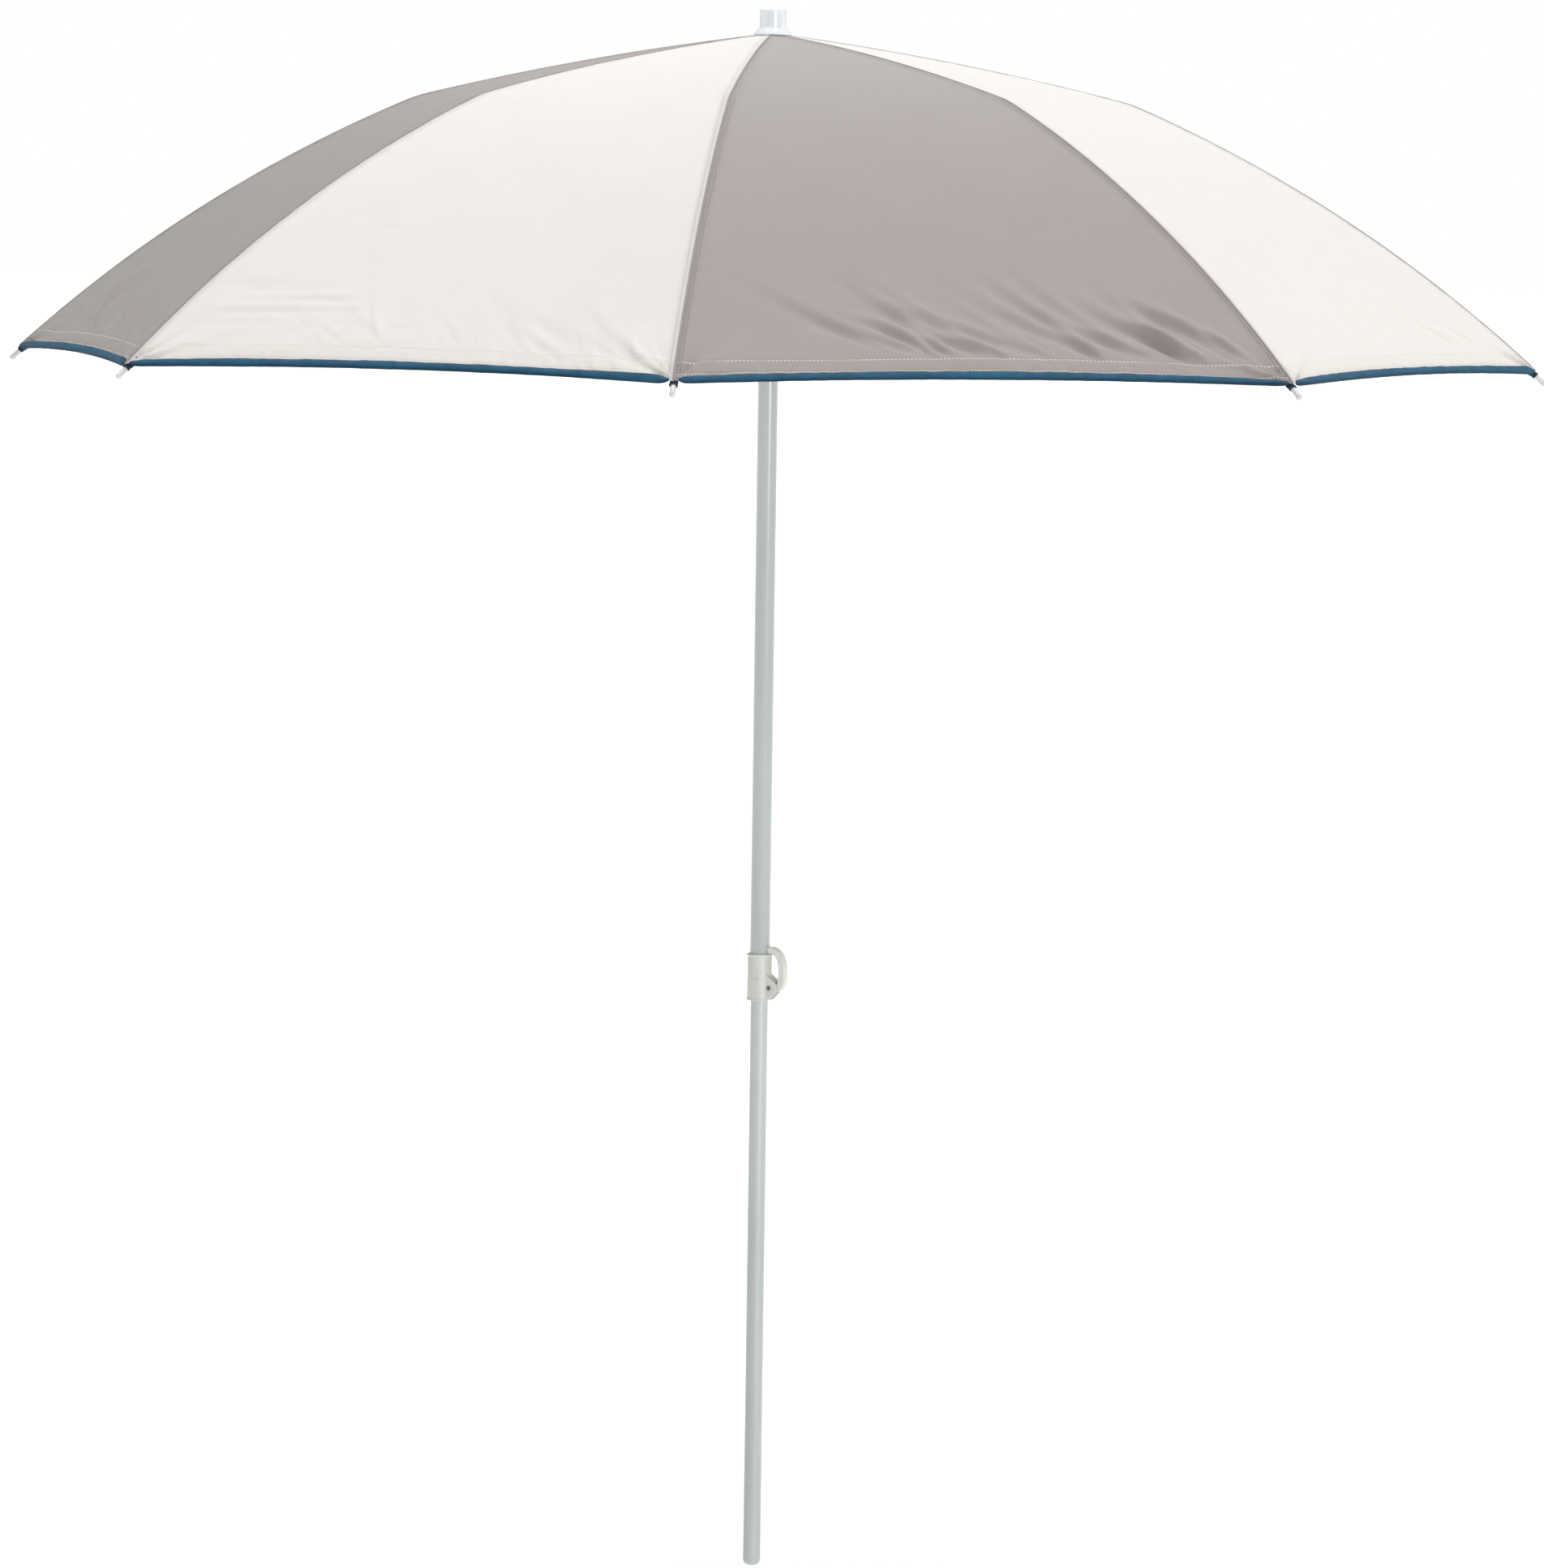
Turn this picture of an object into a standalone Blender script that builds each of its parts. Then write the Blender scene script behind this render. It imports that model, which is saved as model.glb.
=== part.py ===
"""Beach umbrella: an eight-rib folding canopy on a two-tube telescopic pole with a lever clamp.

Metres, +Z up. The origin is the middle of the pole's foot, and the clamp's lever is on the +X side.
"""

import math

import bmesh
import bpy
from mathutils import Matrix, Vector

# Layout
RIBS = 8
RIB_STEP = math.tau / RIBS
FIRST_RIB = RIB_STEP / 2
CLEARANCE = 0.0003
ROUND_SIDES = 24
SMALL_SIDES = 8
HOLE_SIDES = 16
MERGE = 0.00001

# How far cutters reach past what they cut
CUTTER = 0.010
OVERCUT = 0.001

# Pole
LOWER_RADIUS = 0.0095
UPPER_RADIUS = 0.0110
TUBE_WALL = 0.0008
LOWER_TUBE_TOP = 0.900
FOOT_ROUNDING = 0.0065
FOOT_WALL = 0.0025
UPPER_TUBE_BOTTOM = 0.661
UPPER_TUBE_TOP = 1.673
BUSH_RADIUS = 0.0100
BUSH_HEAD = 0.012
BUSH_SPIGOT = 0.025
BUSH_CHAMFER = 0.001
BUSH_WALL = 0.002
FOOT_STEPS = 5

# Folding frame: pivot radii and heights in a rib's own plane, with the canopy open
PIVOT_RADIUS = 0.0165
CROWN_HEIGHT = 1.6848
KNEE_RADIUS = 0.390
KNEE_HEIGHT = 1.6148
TIP_RADIUS = 0.8435
TIP_HEIGHT = 1.3243
INNER_TURN = math.radians(7)
OUTER_TURN = math.radians(20)
RUNNER_HEIGHT = CROWN_HEIGHT - 2 * (CROWN_HEIGHT - KNEE_HEIGHT)

# Wires, eyes and knee joints
RIB_WIRE = 0.0019
STRETCHER_WIRE = 0.0018
EYE_RADIUS = 0.0026
EYE_HALF_WIDTH = 0.0014
EYE_HOLE = 0.00125
EYE_NECK = 0.0080
RIVET_RADIUS = 0.0012
RIVET_HOLE = 0.0015
CLEVIS_INSIDE = 0.0017
CLEVIS_OUTSIDE = 0.0027
CLEVIS_ROOT = 0.0070
CLEVIS_END = 0.0140
CLEVIS_RADIUS = 0.0025
TAB_STEPS = 6
FORK_INSIDE = 0.0030
FORK_OUTSIDE = 0.0041
FORK_ROOT = 0.0240
FORK_END = 0.0300
TONGUE_END = 0.0095
TONGUE_WIRE = 0.0075
WIRE_INTO_TAB = 0.0030
WIRE_INTO_EYE = 0.0020
RIVET_HEAD_RADIUS = 0.0022
RIVET_HEAD = 0.0006

# Crown, runner and their wire rings
RING_WIRE = 0.0009
NOTCH_HALF_WIDTH = 0.0017
NOTCH_INNER_RADIUS = 0.0130
NOTCH_DEPTH = 0.020
NOTCHED_DISC_RADIUS = 0.0195
CHANNEL_HALF_WIDTH = 0.0013
DISC_BEHIND_PIVOT = 0.0060
DISC_BEFORE_PIVOT = 0.0020
RUNNER_BORE = 0.0113
RUNNER_SLEEVE = 0.0136
RUNNER_LENGTH = 0.055
RUNNER_LIP = 0.0012
RUNNER_LIP_HEIGHT = 0.0030
SPIGOT_LENGTH = 0.022
RING_SIDES = 6
CATCH_RADIUS = 0.0022
CATCH_BASE_RADIUS = 0.0034
CATCH_REACH = 0.0142
CATCH_DROP = 0.0030
CATCH_HEIGHT = RUNNER_HEIGHT - RUNNER_LENGTH - CATCH_DROP
CATCH_FLANGE = 0.0010
CATCH_DOME = ((0.0, 0.0), (0.6, 0.0003), (1.0, 0.0016))

# Top cap
CAP_STEM = 0.0050
CAP_RADIUS = 0.0143
CAP_SKIRT_RADIUS = 0.0206
CAP_SHOULDER = 1.6980
CAP_TOP = 1.7180
CAP_ROUNDING = 0.0012
CAP_FLARE = 0.0022
CAP_RIM = 0.0012
CAP_STEM_END = CROWN_HEIGHT - 0.016

# Rib tips
TIP_CAP_LENGTH = 0.024
TIP_CAP_RADIUS = 0.0028
TIP_SIDES = 12
TIP_BALL_RADIUS = 0.0032
TIP_SHOWN = 0.017
TIP_BLIND = 0.006
TIP_BORE = RIB_WIRE + 0.0004
TIP_BALL_STEP = math.radians(26)
TIP_BALL_STEPS = 5

# Canopy
CLOTH_THICKNESS = 0.0010
CLOTH_LIFT = 0.0042
CLOTH_START = 0.0120
CLOTH_SCALLOP = 0.018
CLOTH_ROWS_INNER = 4
CLOTH_ROWS_OUTER = 8
CLOTH_COLUMNS = 6

# Clamp and lever
CLAMP_BOTTOM = 0.6330
CLAMP_TOP = 0.6850
CLAMP_RADIUS = 0.0133
BEAD_RADIUS = 0.01435
BEAD_HEIGHT = 0.0024
BEAD_SLANT = 0.0008
PIVOT_X = 0.0146
PIVOT_Z = 0.6477
EAR_RADIUS = 0.0098
EAR_INSIDE = 0.0043
EAR_OUTSIDE = 0.0073
EAR_ROOT = 0.0080
EAR_TOP = 0.6650
EAR_TURN = math.radians(155)
EAR_STEPS = 10
WINDOW_TOP = 0.6557
PIN_RADIUS = 0.0023
PIN_HALF_LENGTH = 0.0063
PIN_HOLE = 0.0026
HUB_RADIUS = 0.0048
LEVER_HALF_WIDTH = 0.0039
LEVER_HALF_THICKNESS = 0.0030
LEVER_DROP = 0.0006
LEVER_OUT = 0.0235
LEVER_BOW = 0.0300
LEVER_TIP = 0.0120
LEVER_TOP = 0.6905
LEVER_LOWER_RISE = 0.0130
LEVER_UPPER_RISE = 0.0195
LEVER_UPPER_RUN = 0.0140
LEVER_TAPER_START = 0.6

CREAM = (0.87, 0.81, 0.75)
TAUPE = (0.38, 0.34, 0.31)
PAINTED_STEEL = (0.56, 0.60, 0.58)
GALVANISED = (0.60, 0.60, 0.58)
WHITE_PLASTIC = (0.82, 0.83, 0.80)
CLEAR_PLASTIC = (0.82, 0.86, 0.90)


def clear_scene():
    for obj in list(bpy.data.objects):
        bpy.data.objects.remove(obj, do_unlink=True)


def make_collection(name):
    collection = bpy.data.collections.new(name)
    bpy.context.scene.collection.children.link(collection)
    return collection


def make_material(name, colour, roughness, metallic=0.0):
    material = bpy.data.materials.new(name)
    material.use_nodes = True
    shader = material.node_tree.nodes["Principled BSDF"]
    shader.inputs["Base Color"].default_value = (*colour, 1.0)
    shader.inputs["Roughness"].default_value = roughness
    shader.inputs["Metallic"].default_value = metallic
    material.diffuse_color = (*colour, 1.0)
    return material


# ---- shapes ----


def object_of(name, mesh):
    obj = bpy.data.objects.new(name, mesh)
    bpy.context.scene.collection.objects.link(obj)
    return obj


def evaluated_mesh(obj, name):
    """The mesh that an object's modifiers make, with the object itself removed."""
    bpy.context.view_layer.update()
    graph = bpy.context.evaluated_depsgraph_get()
    mesh = bpy.data.meshes.new_from_object(obj.evaluated_get(graph))
    mesh.transform(obj.matrix_world)
    mesh.name = name
    bpy.data.objects.remove(obj, do_unlink=True)
    return mesh


def turned(name, profile, closed=True, sides=ROUND_SIDES):
    """A profile of (radius, height) turned about Z. An open profile starts and ends on the axis."""
    mesh = bpy.data.meshes.new(name)
    points = [Vector((radius, 0.0, height)) for radius, height in profile]
    edges = [(i, i + 1) for i in range(len(points) - 1)]
    if closed:
        edges.append((len(points) - 1, 0))
    mesh.from_pydata(points, edges, [])
    obj = object_of(name, mesh)
    screw = obj.modifiers.new("Turn", "SCREW")
    screw.angle = math.tau
    screw.steps = sides
    screw.render_steps = sides
    screw.use_merge_vertices = True
    screw.merge_threshold = MERGE
    return object_of(name, evaluated_mesh(obj, name))


def box(name, low, high):
    mesh = bpy.data.meshes.new(name)
    shape = bmesh.new()
    bmesh.ops.create_cube(shape, size=1.0)
    size = Vector(high) - Vector(low)
    middle = (Vector(high) + Vector(low)) / 2
    bmesh.ops.scale(shape, vec=size, verts=shape.verts)
    bmesh.ops.translate(shape, vec=middle, verts=shape.verts)
    shape.to_mesh(mesh)
    shape.free()
    return object_of(name, mesh)


def rod(name, start, end, radius, sides=SMALL_SIDES):
    """A round bar between two points."""
    start, end = Vector(start), Vector(end)
    mesh = bpy.data.meshes.new(name)
    shape = bmesh.new()
    bmesh.ops.create_cone(
        shape,
        cap_ends=True,
        segments=sides,
        radius1=radius,
        radius2=radius,
        depth=(end - start).length,
    )
    turn = (end - start).to_track_quat("Z", "Y").to_matrix().to_4x4()
    bmesh.ops.transform(shape, matrix=Matrix.Translation((start + end) / 2) @ turn, verts=shape.verts)
    shape.to_mesh(mesh)
    shape.free()
    return object_of(name, mesh)


def cross_rod(name, x, z, half_length, radius, sides=SMALL_SIDES):
    """A round bar along Y."""
    return rod(name, (x, -half_length, z), (x, half_length, z), radius, sides)


def wire(name, points, radius):
    """A round wire through points, as a mesh with closed ends."""
    curve = bpy.data.curves.new(name, "CURVE")
    curve.dimensions = "3D"
    curve.bevel_depth = radius
    curve.bevel_resolution = 2
    curve.use_fill_caps = True
    spline = curve.splines.new("POLY")
    spline.points.add(len(points) - 1)
    for point, position in zip(spline.points, points):
        point.co = (*position, 1.0)
    obj = object_of(name, evaluated_mesh(object_of(name, curve), name))
    shape = bmesh.new()
    shape.from_mesh(obj.data)
    bmesh.ops.remove_doubles(shape, verts=shape.verts, dist=MERGE)
    bmesh.ops.recalc_face_normals(shape, faces=shape.faces)
    shape.to_mesh(obj.data)
    shape.free()
    return obj


def plate(name, outline, half_thickness):
    """A flat outline of (x, z) points, thickened to both sides of the XZ plane."""
    curve = bpy.data.curves.new(name, "CURVE")
    curve.dimensions = "2D"
    curve.fill_mode = "BOTH"
    curve.extrude = half_thickness
    spline = curve.splines.new("POLY")
    spline.points.add(len(outline) - 1)
    for point, (x, z) in zip(spline.points, outline):
        point.co = (x, z, 0.0, 1.0)
    spline.use_cyclic_u = True
    obj = object_of(name, curve)
    obj.rotation_euler = (math.pi / 2, 0.0, 0.0)
    obj = object_of(name, evaluated_mesh(obj, name))
    shape = bmesh.new()
    shape.from_mesh(obj.data)
    bmesh.ops.remove_doubles(shape, verts=shape.verts, dist=MERGE)
    bmesh.ops.recalc_face_normals(shape, faces=shape.faces)
    shape.to_mesh(obj.data)
    shape.free()
    return obj


def moved(obj, offset):
    obj.data.transform(Matrix.Translation(offset))
    return obj


def joined(name, body, added=(), cut=()):
    """One mesh: the body with some shapes fused to it, then others cut away."""
    for operation, tools in (("UNION", added), ("DIFFERENCE", cut)):
        for tool in tools:
            modifier = body.modifiers.new(tool.name, "BOOLEAN")
            modifier.operation = operation
            modifier.object = tool
    mesh = evaluated_mesh(body, name)
    for tool in (*added, *cut):
        bpy.data.objects.remove(tool, do_unlink=True)
    return mesh


def add_part(name, mesh, material, matrix=None, angle=math.radians(35)):
    """A finished sub-part: its mesh, material and place."""
    if not mesh.materials:
        mesh.materials.append(material)
        mesh.shade_smooth()
        mesh.set_sharp_from_angle(angle=angle)
    obj = bpy.data.objects.new(name, mesh)
    PARTS.objects.link(obj)
    if matrix is not None:
        obj.matrix_world = matrix
    return obj


def add_turned(name, obj, material):
    mesh = evaluated_mesh(obj, name)
    return add_part(name, mesh, material)


# ---- a rib's own plane: x runs outwards, z up, and the hinge lines run along y ----


def arc(start, end, turn, fraction):
    """A point on the arc from start to end that bends down by `turn` along its length."""
    chord = Vector(end) - Vector(start)
    radius = chord.length / (2 * math.sin(turn / 2))
    heading = math.atan2(chord.y, chord.x) + turn / 2
    bend = turn * fraction
    x = radius * (math.sin(heading) - math.sin(heading - bend))
    z = radius * (math.cos(heading - bend) - math.cos(heading))
    return Vector(start) + Vector((x, z))


CROWN = Vector((PIVOT_RADIUS, CROWN_HEIGHT))
KNEE = Vector((KNEE_RADIUS, KNEE_HEIGHT))
TIP = Vector((TIP_RADIUS, TIP_HEIGHT))
INNER_LENGTH = (KNEE - CROWN).length
OUTER_LENGTH = (TIP - KNEE).length


def inner_line(fraction):
    return arc(CROWN, KNEE, INNER_TURN, fraction)


def outer_line(fraction):
    return arc(KNEE, TIP, OUTER_TURN, fraction)


def slope(line, fraction, step=0.001):
    """The line's direction at a fraction of its length, as a unit vector."""
    return (line(fraction + step) - line(fraction - step)).normalized()


def in_plane(point, origin):
    offset = point - origin
    return Vector((offset.x, 0.0, offset.y))


def rib_place(index, origin):
    """Where a piece drawn in a rib's plane, with its origin at a pivot, stands round the pole."""
    turn = Matrix.Rotation(FIRST_RIB + index * RIB_STEP, 4, "Z")
    return turn @ Matrix.Translation((origin.x, 0.0, origin.y))


def turned_to(obj, direction):
    """Turns a shape drawn along +X to a direction of the XZ plane."""
    obj.data.transform(Matrix.Rotation(-math.atan2(direction.z, direction.x), 4, "Y"))
    return obj


def tab(name, direction, length, half_width, radius):
    """A flat bar with a round end centred on the origin, running along a direction of the XZ plane."""
    round_end = [
        (-radius * math.sin(angle), radius * math.cos(angle))
        for angle in (math.pi * i / TAB_STEPS for i in range(TAB_STEPS + 1))
    ]
    outline = [*round_end, (length, -radius), (length, radius)]
    return turned_to(plate(name, outline, half_width), direction)


def fork_gap(name, direction, length, half_width):
    """The cutter that opens a tab into two cheeks, as far as `length` from the origin."""
    return turned_to(box(name, (-CUTTER, -half_width, -CUTTER), (length, half_width, CUTTER)), direction)


def rib_inner_mesh():
    """Crown eye, wire and the knee's clevis. Its origin is the crown pivot."""
    knee = in_plane(KNEE, CROWN)
    back = -Vector((slope(inner_line, 1.0).x, 0.0, slope(inner_line, 1.0).y))
    first = EYE_NECK / INNER_LENGTH
    last = 1.0 - (CLEVIS_ROOT + WIRE_INTO_TAB) / INNER_LENGTH
    steps = 6
    points = [in_plane(inner_line(first + (last - first) * i / steps), CROWN) for i in range(steps + 1)]
    body = wire("wire", points, RIB_WIRE)
    eye = tab("eye", points[1].normalized(), EYE_NECK + WIRE_INTO_EYE, EYE_HALF_WIDTH, EYE_RADIUS)
    clevis = moved(tab("clevis", back, CLEVIS_END, CLEVIS_OUTSIDE, CLEVIS_RADIUS), knee)
    gap = moved(fork_gap("gap", back, CLEVIS_ROOT, CLEVIS_INSIDE), knee)
    crown_hole = cross_rod("crown hole", 0.0, 0.0, CUTTER, EYE_HOLE)
    knee_hole = moved(cross_rod("knee hole", 0.0, 0.0, CUTTER, RIVET_HOLE), knee)
    return joined("rib inner", body, (eye, clevis), (gap, crown_hole, knee_hole))


def rib_outer_mesh():
    """Knee tongue and wire. Its origin is the knee."""
    first = TONGUE_WIRE / OUTER_LENGTH
    last = 1.0 - TIP_BLIND / OUTER_LENGTH
    steps = 9
    points = [in_plane(outer_line(first + (last - first) * i / steps), KNEE) for i in range(steps + 1)]
    body = wire("wire", points, RIB_WIRE)
    tongue = tab("tongue", points[0].normalized(), TONGUE_END, EYE_HALF_WIDTH, CLEVIS_RADIUS)
    hole = cross_rod("hole", 0.0, 0.0, CUTTER, RIVET_HOLE)
    return joined("rib outer", body, (tongue,), (hole,))


def stretcher_mesh():
    """Knee fork, wire and the runner eye. Its origin is the knee."""
    runner_pivot = in_plane(Vector((PIVOT_RADIUS, RUNNER_HEIGHT)), KNEE)
    direction = runner_pivot.normalized()
    length = runner_pivot.length
    body = wire(
        "wire",
        [direction * (FORK_ROOT + WIRE_INTO_TAB), direction * (length - EYE_NECK)],
        STRETCHER_WIRE,
    )
    fork = tab("fork", direction, FORK_END, FORK_OUTSIDE, CLEVIS_RADIUS)
    gap = fork_gap("gap", direction, FORK_ROOT, FORK_INSIDE)
    eye = moved(tab("eye", -direction, EYE_NECK + WIRE_INTO_EYE, EYE_HALF_WIDTH, EYE_RADIUS), runner_pivot)
    knee_hole = cross_rod("knee hole", 0.0, 0.0, CUTTER, RIVET_HOLE)
    runner_hole = moved(cross_rod("runner hole", 0.0, 0.0, CUTTER, EYE_HOLE), runner_pivot)
    return joined("stretcher", body, (fork, eye), (gap, knee_hole, runner_hole))


def rivet_mesh():
    """The knee's rivet, with a head outside each fork cheek. Its origin is the knee."""
    head_start = FORK_OUTSIDE + CLEARANCE
    shank = cross_rod("shank", 0.0, 0.0, head_start + RIVET_HEAD / 2, RIVET_RADIUS)
    heads = [
        rod(
            "head",
            (0.0, side * head_start, 0.0),
            (0.0, side * (head_start + RIVET_HEAD), 0.0),
            RIVET_HEAD_RADIUS,
        )
        for side in (-1, 1)
    ]
    return joined("knee rivet", shank, heads)


def rib_tip_mesh():
    """The cap on a rib's end: a sleeve with a ball end and a blind bore. Its origin is the rib's tip."""
    outward = outer_line(1.0) - outer_line(1.0 - TIP_CAP_LENGTH / OUTER_LENGTH)
    ball = [
        (
            TIP_BALL_RADIUS * math.cos(angle),
            -TIP_BALL_RADIUS + TIP_BALL_RADIUS * math.sin(angle),
        )
        for angle in (math.pi / 2 - TIP_BALL_STEP * i for i in range(TIP_BALL_STEPS + 1))
    ]
    ball[0] = (0.0, ball[0][1])
    ball[-1] = (TIP_CAP_RADIUS, ball[-1][1])
    profile = [
        *ball,
        (TIP_CAP_RADIUS, -TIP_CAP_LENGTH),
        (TIP_BORE, -TIP_CAP_LENGTH),
        (TIP_BORE, CLEARANCE - TIP_BLIND),
        (0.0, CLEARANCE - TIP_BLIND),
    ]
    mesh = evaluated_mesh(turned("rib tip", profile, closed=False, sides=TIP_SIDES), "rib tip")
    mesh.transform(Matrix.Rotation(math.pi / 2 - math.atan2(outward.y, outward.x), 4, "Y"))
    return mesh


def cloth_line(distance):
    """The canopy's seam over a rib, at a distance along the rib from the crown pivot."""
    if distance <= INNER_LENGTH:
        line, fraction = inner_line, distance / INNER_LENGTH
    else:
        line, fraction = outer_line, (distance - INNER_LENGTH) / OUTER_LENGTH
    along = slope(line, fraction)
    if abs(distance - INNER_LENGTH) < 0.001:
        along = (slope(inner_line, 1.0) + slope(outer_line, 0.0)).normalized()
    return line(fraction) + CLOTH_LIFT * Vector((-along.y, along.x))


def gore_mesh():
    """One canopy panel, straight across between two neighbouring ribs. Its origin is on the pole's axis."""
    start = CLOTH_START - PIVOT_RADIUS
    seam_end = INNER_LENGTH + OUTER_LENGTH - TIP_SHOWN
    half_angle = RIB_STEP / 2
    inset = CLEARANCE / 2
    shape = bmesh.new()
    rows = []
    row_starts = [start + (INNER_LENGTH - start) * i / CLOTH_ROWS_INNER for i in range(CLOTH_ROWS_INNER)]
    for row in range(CLOTH_ROWS_INNER + CLOTH_ROWS_OUTER + 1):
        verts = []
        for column in range(CLOTH_COLUMNS + 1):
            across = column / CLOTH_COLUMNS
            end = seam_end - CLOTH_SCALLOP * 4 * across * (1 - across)
            if row < CLOTH_ROWS_INNER:
                distance = row_starts[row]
            else:
                share = (row - CLOTH_ROWS_INNER) / CLOTH_ROWS_OUTER
                distance = INNER_LENGTH + (end - INNER_LENGTH) * share
            seam = cloth_line(distance)
            half_width = seam.x * math.sin(half_angle) - inset
            x = seam.x * math.cos(half_angle)
            verts.append(shape.verts.new((x, half_width * (2 * across - 1), seam.y)))
        rows.append(verts)
    for near, far in zip(rows, rows[1:]):
        for column in range(CLOTH_COLUMNS):
            shape.faces.new((near[column], far[column], far[column + 1], near[column + 1]))
    mesh = bpy.data.meshes.new("gore")
    shape.to_mesh(mesh)
    shape.free()
    obj = object_of("gore", mesh)
    solidify = obj.modifiers.new("Thickness", "SOLIDIFY")
    solidify.thickness = CLOTH_THICKNESS
    solidify.offset = 0.0
    return evaluated_mesh(obj, "gore")


# ---- pole ----


def add_lower_tube(material):
    inside = LOWER_RADIUS - TUBE_WALL
    corner = [
        (
            LOWER_RADIUS - FOOT_ROUNDING + FOOT_ROUNDING * math.cos(angle),
            FOOT_ROUNDING - FOOT_ROUNDING * math.sin(angle),
        )
        for angle in (math.pi / 2 * i / FOOT_STEPS for i in range(FOOT_STEPS + 1))
    ]
    profile = [
        (0.0, FOOT_WALL),
        (LOWER_RADIUS - FOOT_ROUNDING, FOOT_WALL),
        (inside, FOOT_ROUNDING),
        (inside, LOWER_TUBE_TOP),
        (LOWER_RADIUS, LOWER_TUBE_TOP),
        *corner,
        (0.0, 0.0),
    ]
    return add_turned("lower_tube", turned("lower tube", profile, closed=False), material)


def add_guide_bush(material):
    spigot = LOWER_RADIUS - TUBE_WALL - CLEARANCE
    bore = spigot - BUSH_WALL
    seat = LOWER_TUBE_TOP + CLEARANCE
    profile = [
        (BUSH_RADIUS - BUSH_CHAMFER, seat + BUSH_HEAD),
        (BUSH_RADIUS, seat + BUSH_HEAD - BUSH_CHAMFER),
        (BUSH_RADIUS, seat),
        (spigot, seat),
        (spigot, seat - BUSH_SPIGOT),
        (bore, seat - BUSH_SPIGOT),
        (bore, seat + BUSH_HEAD),
    ]
    return add_turned("guide_bush", turned("guide bush", profile), material)


def add_upper_tube(material):
    inside = UPPER_RADIUS - TUBE_WALL
    profile = [
        (UPPER_RADIUS, UPPER_TUBE_TOP),
        (UPPER_RADIUS, UPPER_TUBE_BOTTOM),
        (inside, UPPER_TUBE_BOTTOM),
        (inside, UPPER_TUBE_TOP),
    ]
    tube = turned("upper tube", profile)
    hole = rod(
        "catch hole",
        (-UPPER_RADIUS - CUTTER, 0.0, CATCH_HEIGHT),
        (CATCH_RADIUS - inside, 0.0, CATCH_HEIGHT),
        CATCH_RADIUS + CLEARANCE,
    )
    return add_part("upper_tube", joined("upper tube", tube, (), (hole,)), material)


# ---- crown and runner ----


def notches():
    """Cutters for the slots that the ribs or the stretchers stand in."""
    slots = []
    for index in range(RIBS):
        low = (NOTCH_INNER_RADIUS, -NOTCH_HALF_WIDTH, -NOTCH_DEPTH)
        high = (NOTCHED_DISC_RADIUS + CUTTER, NOTCH_HALF_WIDTH, NOTCH_DEPTH)
        slot = box("notch", low, high)
        slot.data.transform(Matrix.Rotation(FIRST_RIB + index * RIB_STEP, 4, "Z"))
        slots.append(slot)
    return slots


def disc_profile(side, inner):
    """A notched disc's outline beyond `inner`, with the ring's channel, for a pivot at height zero.

    side is +1 when the channel opens upwards. The points run from the open face to the closed one.
    """
    face = side * DISC_BEFORE_PIVOT
    back = -side * DISC_BEHIND_PIVOT
    floor = -side * (RING_WIRE + CLEARANCE)
    near = PIVOT_RADIUS - CHANNEL_HALF_WIDTH
    far = PIVOT_RADIUS + CHANNEL_HALF_WIDTH
    return [
        (inner, face),
        (near, face),
        (near, floor),
        (far, floor),
        (far, face),
        (NOTCHED_DISC_RADIUS, face),
        (NOTCHED_DISC_RADIUS, back),
    ]


def add_crown(material, wire_material):
    spigot = UPPER_RADIUS - TUBE_WALL - CLEARANCE
    spigot_bottom = UPPER_TUBE_TOP - CROWN_HEIGHT - SPIGOT_LENGTH
    shoulder = UPPER_TUBE_TOP - CROWN_HEIGHT + CLEARANCE
    socket = CAP_STEM + CLEARANCE
    profile = [
        *disc_profile(1, socket),
        (NOTCH_INNER_RADIUS, shoulder),
        (spigot, shoulder),
        (spigot, spigot_bottom),
        (socket, spigot_bottom),
    ]
    hub = joined("crown hub", turned("crown hub", profile), (), notches())
    place = Matrix.Translation((0.0, 0.0, CROWN_HEIGHT))
    add_part("crown_hub", hub, material, place)
    add_part("crown_ring", ring_mesh(), wire_material, place)


def ring_mesh():
    """A wire ring that the eyes hang on."""
    angles = [math.tau * i / RING_SIDES for i in range(RING_SIDES)]
    section = [(PIVOT_RADIUS + RING_WIRE * math.cos(a), -RING_WIRE * math.sin(a)) for a in angles]
    return evaluated_mesh(turned("ring", section), "ring")


def add_runner(material, wire_material):
    sleeve_bottom = -RUNNER_LENGTH
    profile = [
        *reversed(disc_profile(-1, RUNNER_SLEEVE)),
        (RUNNER_SLEEVE, sleeve_bottom + RUNNER_LIP_HEIGHT + RUNNER_LIP),
        (RUNNER_SLEEVE + RUNNER_LIP, sleeve_bottom + RUNNER_LIP_HEIGHT),
        (RUNNER_SLEEVE + RUNNER_LIP, sleeve_bottom),
        (RUNNER_BORE, sleeve_bottom),
        (RUNNER_BORE, DISC_BEHIND_PIVOT),
    ]
    runner = joined("runner", turned("runner", profile), (), notches())
    place = Matrix.Translation((0.0, 0.0, RUNNER_HEIGHT))
    add_part("runner", runner, material, place)
    add_part("runner_ring", ring_mesh(), wire_material, place)


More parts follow.
